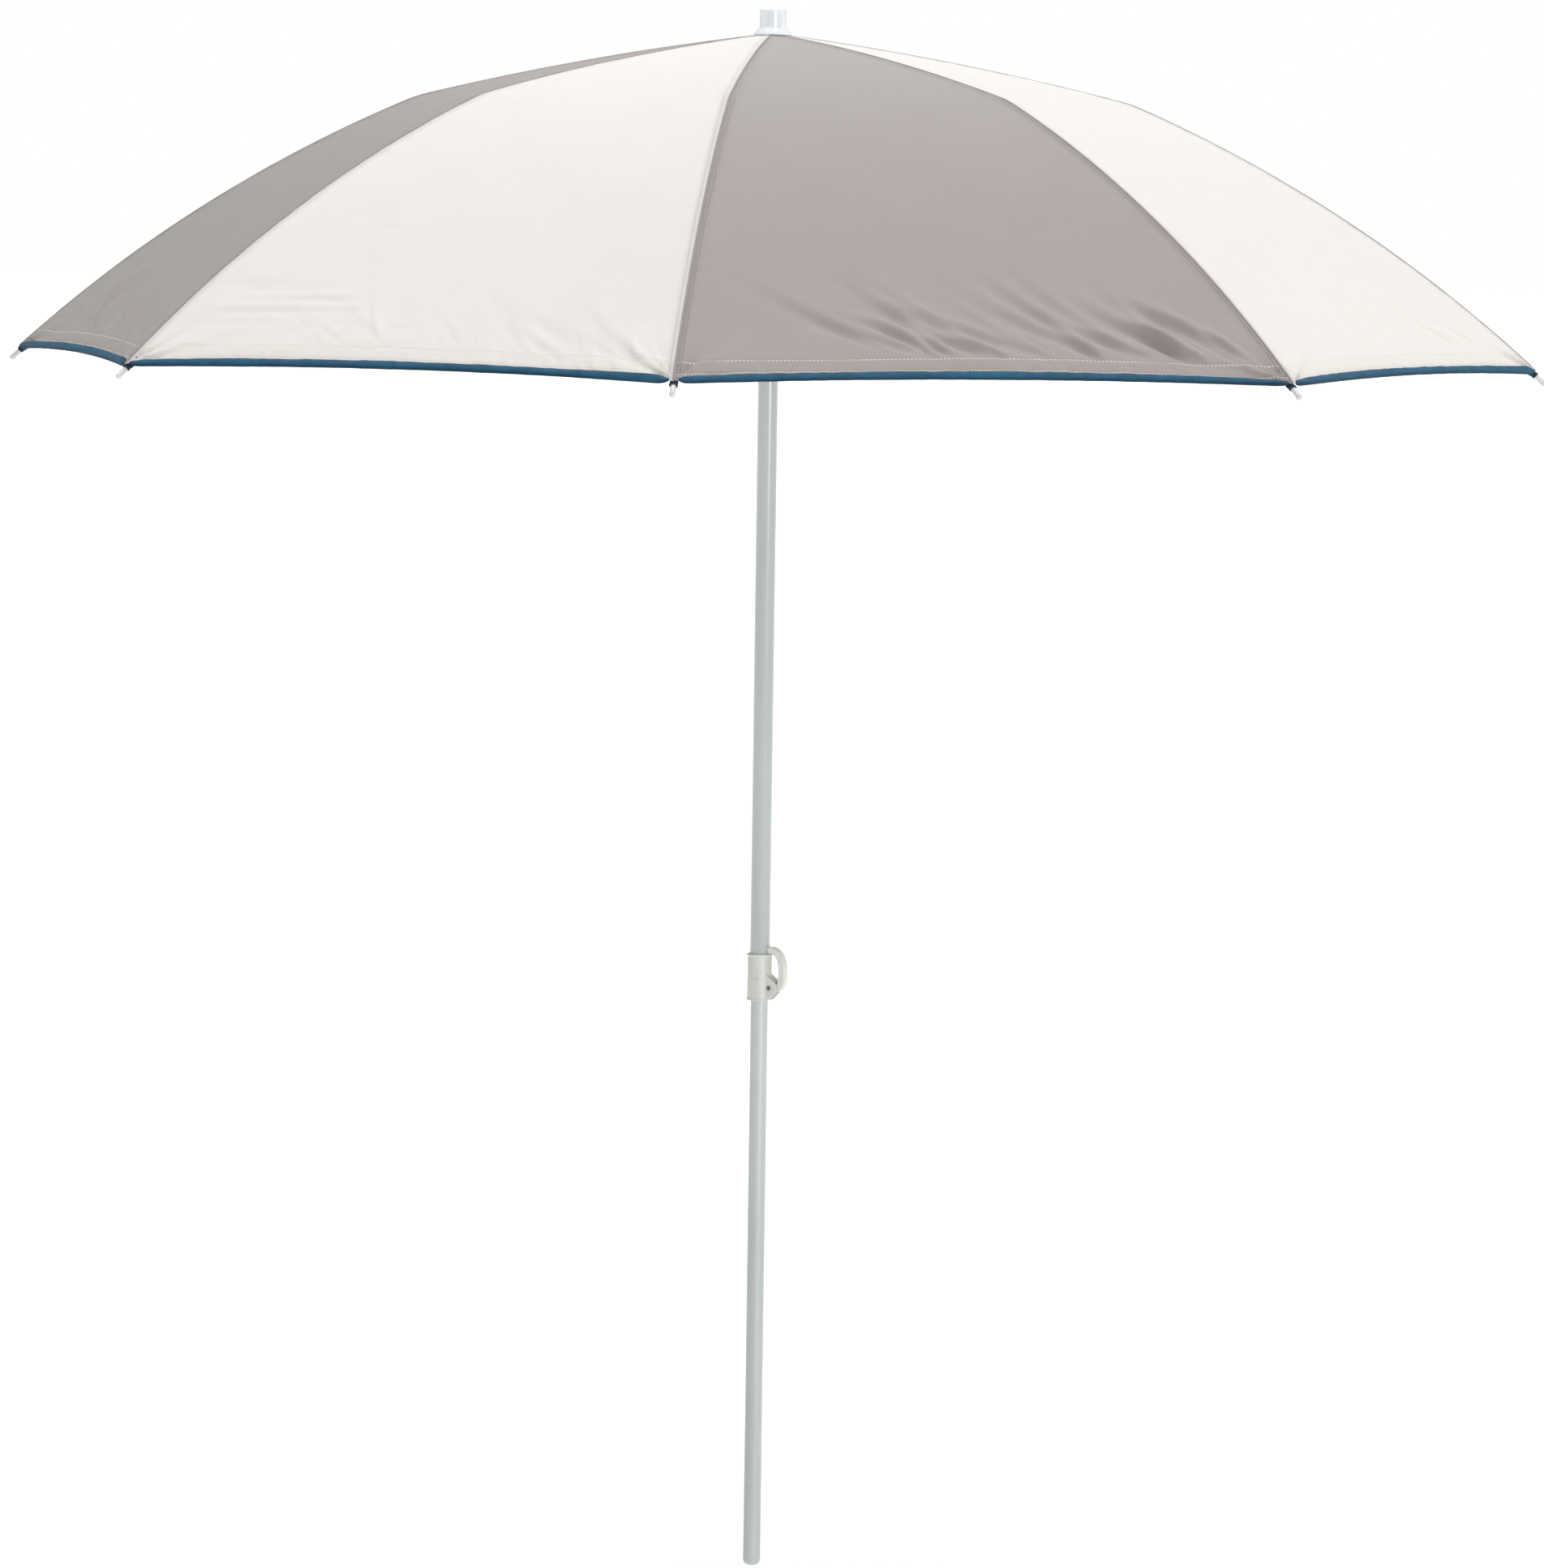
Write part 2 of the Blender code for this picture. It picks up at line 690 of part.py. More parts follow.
def add_runner_catch(material):
    """A spring button through the upper tube, just under the runner. Its origin is on the pole's axis."""
    inside = UPPER_RADIUS - TUBE_WALL
    seat = math.sqrt(inside**2 - CATCH_BASE_RADIUS**2) - CLEARANCE
    profile = [
        *((share * CATCH_RADIUS, CATCH_REACH - drop) for share, drop in CATCH_DOME),
        (CATCH_RADIUS, seat),
        (CATCH_BASE_RADIUS, seat),
        (CATCH_BASE_RADIUS, seat - CATCH_FLANGE),
        (0.0, seat - CATCH_FLANGE),
    ]
    mesh = evaluated_mesh(turned("catch", profile, closed=False, sides=SMALL_SIDES), "runner catch")
    mesh.transform(Matrix.Rotation(-math.pi / 2, 4, "Y"))
    add_part("runner_catch", mesh, material, Matrix.Translation((0.0, 0.0, CATCH_HEIGHT)))


def add_top_cap(material):
    under_rim = cloth_line(CAP_SKIRT_RADIUS - PIVOT_RADIUS).y + CLOTH_THICKNESS / 2 + 2 * CLEARANCE
    under_stem = cloth_line(CLOTH_START - PIVOT_RADIUS).y + CLOTH_THICKNESS / 2 + 2 * CLEARANCE
    profile = [
        (0.0, CAP_TOP),
        (CAP_RADIUS - CAP_ROUNDING, CAP_TOP),
        (CAP_RADIUS - 0.3 * CAP_ROUNDING, CAP_TOP - 0.3 * CAP_ROUNDING),
        (CAP_RADIUS, CAP_TOP - CAP_ROUNDING),
        (CAP_RADIUS, CAP_SHOULDER),
        (CAP_RADIUS + CAP_FLARE, CAP_SHOULDER - CAP_FLARE),
        (CAP_SKIRT_RADIUS, under_rim + CAP_RIM),
        (CAP_SKIRT_RADIUS, under_rim),
        (CLOTH_START, under_stem),
        (CAP_STEM, under_stem),
        (CAP_STEM, CAP_STEM_END),
        (0.0, CAP_STEM_END),
    ]
    return add_turned("top_cap", turned("top cap", profile, closed=False), material)


# ---- clamp ----


def clamp_bore():
    """The cutter for the clamp's bore: the upper tube stands on its step, the lower one slides through."""
    upper_bore = UPPER_RADIUS + CLEARANCE
    lower_bore = LOWER_RADIUS + CLEARANCE
    step = UPPER_TUBE_BOTTOM - CLEARANCE
    profile = [
        (0.0, CLAMP_TOP + OVERCUT),
        (upper_bore, CLAMP_TOP + OVERCUT),
        (upper_bore, step),
        (lower_bore, step),
        (lower_bore, CLAMP_BOTTOM - OVERCUT),
        (0.0, CLAMP_BOTTOM - OVERCUT),
    ]
    return turned("bore", profile, closed=False)


def add_clamp_body(material):
    profile = [
        (0.0, CLAMP_TOP),
        (BEAD_RADIUS, CLAMP_TOP),
        (BEAD_RADIUS, CLAMP_TOP - BEAD_HEIGHT + BEAD_SLANT),
        (CLAMP_RADIUS, CLAMP_TOP - BEAD_HEIGHT - BEAD_SLANT),
        (CLAMP_RADIUS, CLAMP_BOTTOM + BEAD_HEIGHT + BEAD_SLANT),
        (BEAD_RADIUS, CLAMP_BOTTOM + BEAD_HEIGHT - BEAD_SLANT),
        (BEAD_RADIUS, CLAMP_BOTTOM),
        (0.0, CLAMP_BOTTOM),
    ]
    body = turned("clamp body", profile, closed=False)
    ear_arc = [
        (PIVOT_X + EAR_RADIUS * math.cos(angle), PIVOT_Z + EAR_RADIUS * math.sin(angle))
        for angle in (EAR_TURN * i / EAR_STEPS - math.pi / 2 for i in range(EAR_STEPS + 1))
    ]
    outline = [(EAR_ROOT, PIVOT_Z - EAR_RADIUS), *ear_arc, (EAR_ROOT, EAR_TOP)]
    width = (EAR_OUTSIDE - EAR_INSIDE) / 2
    ears = [
        moved(plate("ear", outline, width), (0.0, side * (EAR_INSIDE + width), 0.0)) for side in (-1, 1)
    ]
    window = box(
        "window",
        (0.0, -EAR_INSIDE, CLAMP_BOTTOM - OVERCUT),
        (CLAMP_RADIUS + CUTTER, EAR_INSIDE, WINDOW_TOP),
    )
    pin_hole = cross_rod("pin hole", PIVOT_X, PIVOT_Z, CUTTER, PIN_HOLE, HOLE_SIDES)
    mesh = joined("clamp body", body, ears, (clamp_bore(), window, pin_hole))
    return add_part("clamp_body", mesh, material)


def lever_middle():
    """The lever's middle line from the pivot: out under the fingers, up, and back in to the pole."""
    low_z = PIVOT_Z - LEVER_DROP
    lower = [
        (
            LEVER_OUT + (LEVER_BOW - LEVER_OUT) * math.sin(angle),
            low_z + LEVER_LOWER_RISE * (1 - math.cos(angle)),
        )
        for angle in (math.radians(22.5 * i) for i in range(5))
    ]
    upper = [
        (
            LEVER_BOW - LEVER_UPPER_RUN * (1 - math.cos(angle)),
            LEVER_TOP - LEVER_UPPER_RISE * (1 - math.sin(angle)),
        )
        for angle in (math.radians(15 * i) for i in range(7))
    ]
    return [(PIVOT_X, low_z), (PIVOT_X + HUB_RADIUS, low_z), *lower, *upper, (LEVER_TIP, LEVER_TOP)]


def lever_outline():
    """The lever's side view, offset to both sides of its middle line and thinner at the tip."""
    middle = [Vector(point) for point in lever_middle()]
    outside, inside = [], []
    for index, point in enumerate(middle):
        before = middle[max(0, index - 1)]
        after = middle[min(len(middle) - 1, index + 1)]
        along = (after - before).normalized()
        across = Vector((along.y, -along.x))
        share = index / (len(middle) - 1)
        thinning = LEVER_TAPER_START * max(0.0, share - LEVER_TAPER_START)
        half = LEVER_HALF_THICKNESS * (1.0 - thinning)
        outside.append(point + across * half)
        inside.append(point - across * half)
    return [tuple(point) for point in (*outside, *reversed(inside))]


def add_clamp_lever(material):
    arm = plate("arm", lever_outline(), LEVER_HALF_WIDTH)
    hub = cross_rod("hub", PIVOT_X, PIVOT_Z, LEVER_HALF_WIDTH, HUB_RADIUS, ROUND_SIDES)
    hole = cross_rod("hole", PIVOT_X, PIVOT_Z, CUTTER, PIN_HOLE, HOLE_SIDES)
    mesh = joined("clamp lever", hub, (arm,), (hole,))
    mesh.transform(Matrix.Translation((-PIVOT_X, 0.0, -PIVOT_Z)))
    return add_part("clamp_lever", mesh, material, Matrix.Translation((PIVOT_X, 0.0, PIVOT_Z)))


def add_clamp_pin(material):
    pin = cross_rod("pin", 0.0, 0.0, PIN_HALF_LENGTH, PIN_RADIUS, HOLE_SIDES)
    mesh = evaluated_mesh(pin, "clamp pin")
    return add_part("clamp_pin", mesh, material, Matrix.Translation((PIVOT_X, 0.0, PIVOT_Z)))


def add_frame_and_canopy(metal, plastic, cream, taupe):
    """Eight ribs, stretchers, knee rivets, rib tips and canopy panels."""
    inner, outer, stretcher = rib_inner_mesh(), rib_outer_mesh(), stretcher_mesh()
    rivet, tip = rivet_mesh(), rib_tip_mesh()
    gores = {"cream": gore_mesh(), "taupe": gore_mesh()}
    for index in range(RIBS):
        number = index + 1
        add_part(f"rib_inner_{number}", inner, metal, rib_place(index, CROWN))
        add_part(f"rib_outer_{number}", outer, metal, rib_place(index, KNEE))
        add_part(f"stretcher_{number}", stretcher, metal, rib_place(index, KNEE))
        add_part(f"knee_rivet_{number}", rivet, metal, rib_place(index, KNEE))
        add_part(f"rib_tip_{number}", tip, plastic, rib_place(index, TIP))
        colour = "taupe" if index % 2 == 0 else "cream"
        cloth = taupe if colour == "taupe" else cream
        turn = Matrix.Rotation((index + 1) * RIB_STEP, 4, "Z")
        add_part(f"gore_{number}", gores[colour], cloth, turn, angle=math.radians(60))


clear_scene()
PARTS = make_collection("Beach umbrella")
steel = make_material("Painted steel tube", PAINTED_STEEL, 0.35, 0.2)
frame_wire = make_material("Galvanised wire", GALVANISED, 0.35, 0.9)
white = make_material("White plastic", WHITE_PLASTIC, 0.45)
clear = make_material("Frosted plastic", CLEAR_PLASTIC, 0.25)
cream_cloth = make_material("Cream cloth", CREAM, 0.85)
taupe_cloth = make_material("Taupe cloth", TAUPE, 0.85)

add_lower_tube(steel)
add_guide_bush(white)
add_upper_tube(steel)
add_crown(white, frame_wire)
add_top_cap(clear)
add_runner(white, frame_wire)
add_runner_catch(frame_wire)
add_clamp_body(white)
add_clamp_pin(frame_wire)
add_clamp_lever(white)
add_frame_and_canopy(frame_wire, white, cream_cloth, taupe_cloth)
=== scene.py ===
"""Beach umbrella: cloth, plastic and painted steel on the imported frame.

Metres, +Z up. Canopy panel k lies between rib k and rib k + 1, and its middle is at 45 degrees x k.
"""

from collections import namedtuple
from math import atan2, cos, exp, pi, radians, sin, tau

import bmesh
import bpy
import numpy as np
from mathutils import Matrix, Vector


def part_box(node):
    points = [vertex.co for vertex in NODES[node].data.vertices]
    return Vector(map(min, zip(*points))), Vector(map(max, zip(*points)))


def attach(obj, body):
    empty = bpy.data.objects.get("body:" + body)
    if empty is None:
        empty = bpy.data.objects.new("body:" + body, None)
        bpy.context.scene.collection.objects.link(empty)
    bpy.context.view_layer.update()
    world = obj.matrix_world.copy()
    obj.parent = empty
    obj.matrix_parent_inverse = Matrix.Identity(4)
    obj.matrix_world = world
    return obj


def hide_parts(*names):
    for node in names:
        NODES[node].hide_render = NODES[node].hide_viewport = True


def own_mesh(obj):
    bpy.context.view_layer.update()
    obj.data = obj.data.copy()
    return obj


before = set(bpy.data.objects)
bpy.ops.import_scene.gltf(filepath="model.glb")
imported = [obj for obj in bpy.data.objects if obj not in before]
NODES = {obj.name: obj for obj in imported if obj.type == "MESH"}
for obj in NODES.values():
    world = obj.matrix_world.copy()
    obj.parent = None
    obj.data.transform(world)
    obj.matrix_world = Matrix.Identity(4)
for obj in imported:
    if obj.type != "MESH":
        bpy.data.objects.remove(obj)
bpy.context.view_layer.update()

# Camera
CAMERA_PLACE = (3.3834, -6.1583, 1.5345)
CAMERA_HEADING = radians(28.698)
CAMERA_PITCH = radians(-5.386)
CAMERA_ROLL = radians(0.81)
CAMERA_LENS = 147.4

# Ribs, as the CAD has them: the crown pivot, the knee and the rib's end in a rib's own plane
RIBS = 8
RIB_STEP = tau / RIBS
HALF_STEP = RIB_STEP / 2
CROWN = Vector((0.0165, 1.6848))
KNEE = Vector((0.39, 1.6148))
TIP = Vector((0.8435, 1.3243))
INNER_TURN = radians(7)
OUTER_TURN = radians(20)
INNER_LENGTH = (KNEE - CROWN).length
OUTER_LENGTH = (TIP - KNEE).length

# Canopy
CLOTH_LIFT = 0.0042
CLOTH_START = 0.012
TIP_SHOWN = 0.017
SCALLOP = 0.0085
SAG = 0.0035
KNEE_SOFTENING = 0.03
SEAM_SOFTENING = 0.008
FIRST = CLOTH_START - CROWN.x
LAST = INNER_LENGTH + OUTER_LENGTH - TIP_SHOWN
INNER_ROWS = 60
OUTER_ROWS = 160
HALF_COLUMNS = 100
UPPER_BANDS = (0, 4, 10, 20, 36, INNER_ROWS)
LOWER_BANDS = (0, 36, 76, 118, OUTER_ROWS)
Band = namedtuple("Band", "name part rows top bottom")

# Wrinkles: how high they stand, and the size of their cells across and along the panel
Wrinkles = namedtuple("Wrinkles", "height wide high")
BROAD = Wrinkles(0.0016, 0.16, 0.2)
SMALL = Wrinkles(0.0008, 0.05, 0.11)
LEVEL = Wrinkles(0.0026, 0.075, 0.0095)
HEM_RIPPLE = Wrinkles(0.0009, 0.0085, 0.05)
SEAM_PUCKER = Wrinkles(0.0005, 0.014, 0.3)
LEVEL_HEIGHT_ABOVE_HEM = 0.11
TAUPE_LEVEL_SHARE = 0.35
CREAM_FOLD_SHARE = 0.28
FOLD_HEIGHT = 0.0048
TAUPE_FOLDS = 24
CREAM_FOLDS = 14
CREASE_HEIGHT = 0.016
CREASE_REACH = 0.06
CREASE_WAVES = (7.0, 12.0, 19.0)
SEAM_RISE = 0.0007

# Hem, seams and binding
HEM_STITCH = 0.027
HEM_ROW = HEM_STITCH - 0.0015
THREAD_LINE = 0.0085
SEAM_BAND = 0.0095
SEAM_ROW = SEAM_BAND - 0.002
CORNER_LAP = 0.0165
THREAD_PITCH = 0.0011
TWILL_PITCH = 0.0009
HEM_STITCH_PITCH = 0.0042
EDGE_STITCH_PITCH = 0.0034
SEAM_STITCH_PITCH = 0.004
CORD_STITCH_PITCH = 0.0032
SEAM_STOPS = 70
SEAM_START = 0.004
SEAM_END = 0.002
SEAM_LIFT = 0.0004
SEAM_CORD = 0.0013
SEAM_TAPE_UPPER = 0.0032
SEAM_TAPE_LOWER = 0.007
SEAM_TAPE_DEPTH = 0.0007
SEAM_TAPE_SLOPE = 0.26
SEAM_TAPE_THICKNESS = 0.0004
BINDING_REACH = 0.005
BINDING_THICKNESS = 0.0031
BINDING_GAP = 0.005
BINDING_INSET = 0.0012
BINDING_STEP = 0.005
BINDING_END = (0.0, 0.003, 0.007)
BINDING_END_SIZES = (0.25, 0.6, 0.85, 0.97)
LOOP_WIDTH = 0.0044
LOOP_THICKNESS = 0.0038
# Each section of a tip loop: its place along the rib, its size and its lift
LOOP_SECTIONS = (
    (-0.0075, 0.7, 0.002),
    (-0.005, 0.92, 0.0014),
    (-0.0025, 0.98, 0.0007),
    (0.0, 0.92, 0.0002),
    (0.0014, 1.05, 0.0),
    (0.0024, 0.98, 0.0),
    (0.0028, 0.84, 0.0),
)

# Tubes
LOWER_RADIUS = 0.0095
UPPER_RADIUS = 0.011
TUBE_WALL = 0.0008
TUBE_LIP = 0.0004
FOOT_ROUNDING = 0.0065
FOOT_WALL = 0.0025
TUBE_SIDES = 96

# Top cap and rib tips
CAP_RADIUS = 0.0143
CAP_CORE_RADIUS = 0.0088
CAP_BORE = 0.0092
CAP_STEM = 0.005
CAP_HEIGHT = 0.02
TIP_SLEEVE = 0.0028
TIP_BALL = 0.0032
TIP_NECK = 0.0062
TIP_LENGTH = 0.024

# Clamp, lever and pin
CLAMP_RADIUS = 0.0133
CLAMP_INSIDE = 0.008
CLAMP_VOXEL = 0.00035
CLAMP_SMOOTHING = 5
EAR_RADIUS = 0.0098
EAR_INNER = 0.0043
EAR_OUTER = 0.0073
WEB_HALF = 0.005
WINDOW_REACH = 0.024
WINDOW_RISE = 0.0056
HOLE_RADIUS = 0.0026
HOLE_REACH = 0.01
HEAD_RECESS = 0.0031
HEAD_RECESS_START = 0.0063
LEVER_HALF = 0.0041
LEVER_CORNER = 0.001
LEVER_HUB = 0.0048
LEVER_RISE = 0.0001
LEVER_BEND_START = 0.0235
LEVER_BEND_HEIGHT = 0.0123
LEVER_TOP_BEND = (0.014, 0.0195)
PIN_RADIUS = 0.0023
PIN_HEAD = 0.0029
PIN_HEAD_LENGTH = 0.0012
SOCKET_RADIUS = 0.0015
SOCKET_DEPTH = 0.0009
PIN_VOXEL = 0.00016
PIN_SMOOTHING = 2

# Wire nodes of the frame, and the bodies they ride on
FRAME_PARTS = (
    ("rib_inner", "rib"),
    ("rib_outer", "rib_end"),
    ("stretcher", "stretcher"),
    ("knee_rivet", "rib"),
)

# Colours
CREAM = (0.86, 0.835, 0.8)
TAUPE = (0.446, 0.411, 0.398)
BLUE = (0.017, 0.098, 0.18)
STEEL_PAINT = (0.435, 0.474, 0.462)
# Painted light: the lower tube's paint is lighter than the upper tube's, standing in for light the canopy's
# shadow takes away.
LIT_LOWER_PAINT = (0.498, 0.538, 0.521)
WIRE = (0.52, 0.53, 0.52)
WHITE_PLASTIC = (0.62, 0.625, 0.61)
CLAMP_PLASTIC = (0.63, 0.65, 0.605)
SCREW = (0.17, 0.17, 0.145)
CAP_PLASTIC = (0.9, 0.93, 0.97)
CAP_CORE = (0.86, 0.92, 0.99)
WHITE = (1.0, 1.0, 1.0)

# Stage. A light has a name, its strength, where it stands, its spread in degrees and its colour
LIGHTS = (
    ("Top light", 2.75, (-0.1, 0.1, 1.0), 50, (0.97, 0.985, 1.0)),
    ("Front light", 0.25, (0.55, -0.8, 0.4), 20, (1.0, 0.99, 0.97)),
    ("Right light", 0.5, (0.9, 0.2, 0.45), 30, (1.0, 0.985, 0.97)),
    ("Edge light", 0.6, (0.855, -0.518, 0.015), 9, WHITE),
)
GLINT = ("Glint light", 3.0, (0.837, -0.548, 0.002), 2, WHITE)
WORLD_LIGHT = 0.3
FLOOR_RADIUS = 90.0
FLOOR_SIDES = 96
FLOOR_DROP = 0.0005
FLOOR_GREYS = ((0.28, 0.28, 0.28), (0.32, 0.32, 0.32))
FLOOR_GLOW = 0.84


# ---- materials ----


class Graph:
    """A material's nodes: each call adds one node and returns its output."""

    def __init__(self, name):
        self.material = bpy.data.materials.new(name)
        self.material.use_nodes = True
        self.nodes = self.material.node_tree.nodes
        self.links = self.material.node_tree.links
        self.shader = self.nodes["Principled BSDF"]

    def node(self, kind, inputs=None, **settings):
        made = self.nodes.new("ShaderNode" + kind)
        for key, value in settings.items():
            setattr(made, key, value)
        for key, value in (inputs or {}).items():
            self.put(made.inputs[key], value)
        return made

    def put(self, socket, value):
        if isinstance(value, bpy.types.NodeSocket):
            self.links.new(value, socket)
        else:
            socket.default_value = value

    def set(self, **values):
        """Sets the shader's sockets; an underscore stands for a space."""
        for key, value in values.items():
            self.put(self.shader.inputs[key.replace("_", " ")], value)

    def blend(self, other, share):
        """Mixes a share of another shader into the material."""
        mixed = self.node("MixShader", {0: share, 1: self.shader.outputs[0], 2: other}).outputs[0]
        self.put(self.nodes["Material Output"].inputs["Surface"], mixed)

    def attribute(self, name):
        return self.node("Attribute", attribute_name=name).outputs["Fac"]

    def place(self):
        return self.node("TexCoord").outputs["Object"]

    def math(self, operation, first, second=0.0):
        return self.node("Math", {0: first, 1: second}, operation=operation).outputs[0]

    def times(self, first, second):
        return self.math("MULTIPLY", first, second)

    def most(self, first, second):
        return self.math("MAXIMUM", first, second)

    def wave(self, value, pitch):
        return self.math("SINE", self.times(value, tau / pitch))

    def range(self, value, low, high, to_low=0.0, to_high=1.0):
        inputs = {"Value": value, 1: low, 2: high, 3: to_low, 4: to_high}
        return self.node("MapRange", inputs, interpolation_type="SMOOTHSTEP").outputs[0]

    def stretch(self, vector, scale):
        return self.node("Mapping", {"Vector": vector, "Scale": scale}).outputs[0]

    def noise(self, vector, scale, detail=2.0, roughness=0.5):
        inputs = {"Vector": vector, "Scale": scale, "Detail": detail, "Roughness": roughness}
        return self.node("TexNoise", inputs).outputs["Fac"]

    def vector(self, x, y):
        return self.node("CombineXYZ", {0: x, 1: y}).outputs[0]

    def mix(self, share, first, second, blend="MIX"):
        made = self.node("Mix", data_type="RGBA", blend_type=blend)
        for key, value in ((0, share), (6, first), (7, second)):
            self.put(made.inputs[key], (*value, 1.0) if isinstance(value, tuple) else value)
        return made.outputs[2]

    def tone(self, value, colour, low, high):
        """A colour that drifts between two shares of itself with a noise value."""
        return self.mix(self.range(value, 0.3, 0.7), scaled(colour, low), scaled(colour, high))

    def bump(self, height, distance, strength=1.0, normal=None):
        inputs = {"Height": height, "Distance": distance, "Strength": strength}
        if normal is not None:
            inputs["Normal"] = normal
        return self.node("Bump", inputs).outputs[0]


def line_mask(graph, value, middle, half_width):
    """1 on the line where value is middle, falling to 0 at half_width either side."""
    off = graph.math("ABSOLUTE", graph.math("SUBTRACT", value, middle))
    return graph.range(off, half_width, 0.4 * half_width)


def dashes(graph, value, pitch):
    """1 on each stitch along a line and 0 in the gaps between them."""
    return graph.range(graph.wave(value, pitch), -0.6, 0.0)


def scaled(colour, share):
    return tuple(channel * share for channel in colour)


def cloth_material(name, colour, low_shade, hem_thread, seam_thread):
    """Woven cloth, thread by thread, a little darker low down as painted shade where the top light falls
    off, with a stitched hem and felled seams.
    """
    graph = Graph(name)
    across, along = graph.attribute("across"), graph.attribute("along")
    hem, seam = graph.attribute("hem"), graph.attribute("seam")
    cut = graph.vector(across, along)
    weave = graph.times(graph.wave(across, THREAD_PITCH), graph.wave(along, THREAD_PITCH))
    speckle = graph.noise(cut, 900.0, 2.0, 0.7)
    mottle = graph.noise(cut, 14.0, 3.0, 0.6)
    slub = graph.noise(graph.stretch(cut, (60.0, 900.0, 1.0)), 1.0, 1.0)
    tone = graph.tone(speckle, colour, 0.955, 1.03)
    tone = graph.mix(graph.range(mottle, 0.3, 0.7, 0.0, 0.35), tone, scaled(colour, 0.955))
    tone = graph.mix(graph.range(slub, 0.55, 0.8, 0.0, 0.25), tone, scaled(colour, 1.06))
    # Painted shade: the tone darkens from the crown to the hem, standing in for the top light falling off
    # down the slope.
    fade = graph.range(along, 0.02, 0.75)
    tone = graph.mix(fade, tone, low_shade, "MULTIPLY")
    band = graph.range(seam, SEAM_BAND, SEAM_BAND - 0.001)
    band = graph.most(band, graph.range(hem, HEM_STITCH, HEM_STITCH - 0.001))
    tone = graph.mix(band, tone, (0.985, 0.98, 0.975), "MULTIPLY")
    beside = graph.range(seam, CORNER_LAP + 0.0005, CORNER_LAP - 0.0005)
    patch = graph.times(beside, graph.range(hem, HEM_STITCH - 0.001, HEM_STITCH - 0.002))
    tone = graph.mix(patch, tone, (0.93, 0.92, 0.915), "MULTIPLY")
    hem_row = line_mask(graph, hem, HEM_ROW, 0.0009)
    low_row = line_mask(graph, hem, THREAD_LINE, 0.0009)
    worn = graph.range(graph.noise(cut, 30.0, 2.0), 0.35, 0.55, 0.35, 1.0)
    hem_line = graph.times(hem_row, dashes(graph, across, HEM_STITCH_PITCH))
    low_line = graph.times(low_row, dashes(graph, across, EDGE_STITCH_PITCH))
    stitches = graph.times(graph.most(hem_line, low_line), worn)
    tone = graph.mix(stitches, tone, scaled(colour, hem_thread))
    seam_row = line_mask(graph, seam, SEAM_ROW, 0.0007)
    seam_line = graph.times(seam_row, dashes(graph, along, SEAM_STITCH_PITCH))
    tone = graph.mix(seam_line, tone, scaled(colour, seam_thread))
    # Painted shade: the cloth darkens within about two millimetres of each seam, where shade falls into the
    # fold.
    tone = graph.mix(graph.range(seam, 0.0022, 0.0008), tone, (0.86, 0.85, 0.845), "MULTIPLY")
    groove = line_mask(graph, hem, HEM_ROW, 0.003)
    groove = graph.most(groove, line_mask(graph, hem, THREAD_LINE, 0.0026))
    groove = graph.most(groove, line_mask(graph, seam, SEAM_ROW, 0.0022))
    rise = graph.math("SUBTRACT", graph.math("ADD", band, patch), groove)
    rise = graph.math("ADD", rise, graph.times(stitches, 0.7))
    normal = graph.bump(rise, 0.0005, 0.7)
    normal = graph.bump(graph.noise(graph.stretch(cut, (1.0, 1.6, 1.0)), 55.0, 3.0), 0.0012, 0.35, normal)
    normal = graph.bump(weave, 0.00012, 0.45, normal)
    graph.set(Base_Color=tone, Normal=normal, Roughness=graph.range(mottle, 0.2, 0.8, 0.78, 0.9))
    graph.set(Sheen_Weight=0.15, Sheen_Roughness=0.45, Specular_IOR_Level=0.25)
    back = graph.node("BsdfTranslucent", {"Color": tone, "Normal": normal}).outputs[0]
    graph.blend(back, 0.16)
    return graph.material


def binding_material():
    """Blue binding tape: twill ribs across it, with painted shade towards its edges and underneath."""
    graph = Graph("Binding tape")
    along, across = graph.attribute("along"), graph.attribute("across")
    twill = graph.wave(graph.math("ADD", along, across), TWILL_PITCH)
    cut = graph.vector(along, across)
    wear = graph.noise(cut, 60.0, 4.0, 0.6)
    tone = graph.tone(wear, BLUE, 0.82, 1.25)
    tone = graph.mix(graph.range(twill, -1.0, 1.0, 0.0, 0.3), tone, scaled(BLUE, 0.6))
    # Painted shade: the tape's lower side and edges go dark, as if lit from above.
    crown = graph.range(across, 0.15 * BINDING_REACH, 0.95 * BINDING_REACH)
    tone = graph.mix(crown, scaled(BLUE, 0.3), tone)
    normal = graph.bump(twill, 0.00015, 0.6)
    normal = graph.bump(graph.noise(graph.stretch(cut, (140.0, 30.0, 1.0)), 1.0, 2.0), 0.0006, 0.5, normal)
    graph.set(Base_Color=tone, Normal=normal, Roughness=graph.range(wear, 0.2, 0.8, 0.6, 0.76))
    graph.set(Sheen_Weight=0.05, Sheen_Roughness=0.4, Specular_IOR_Level=0.2)
    return graph.material


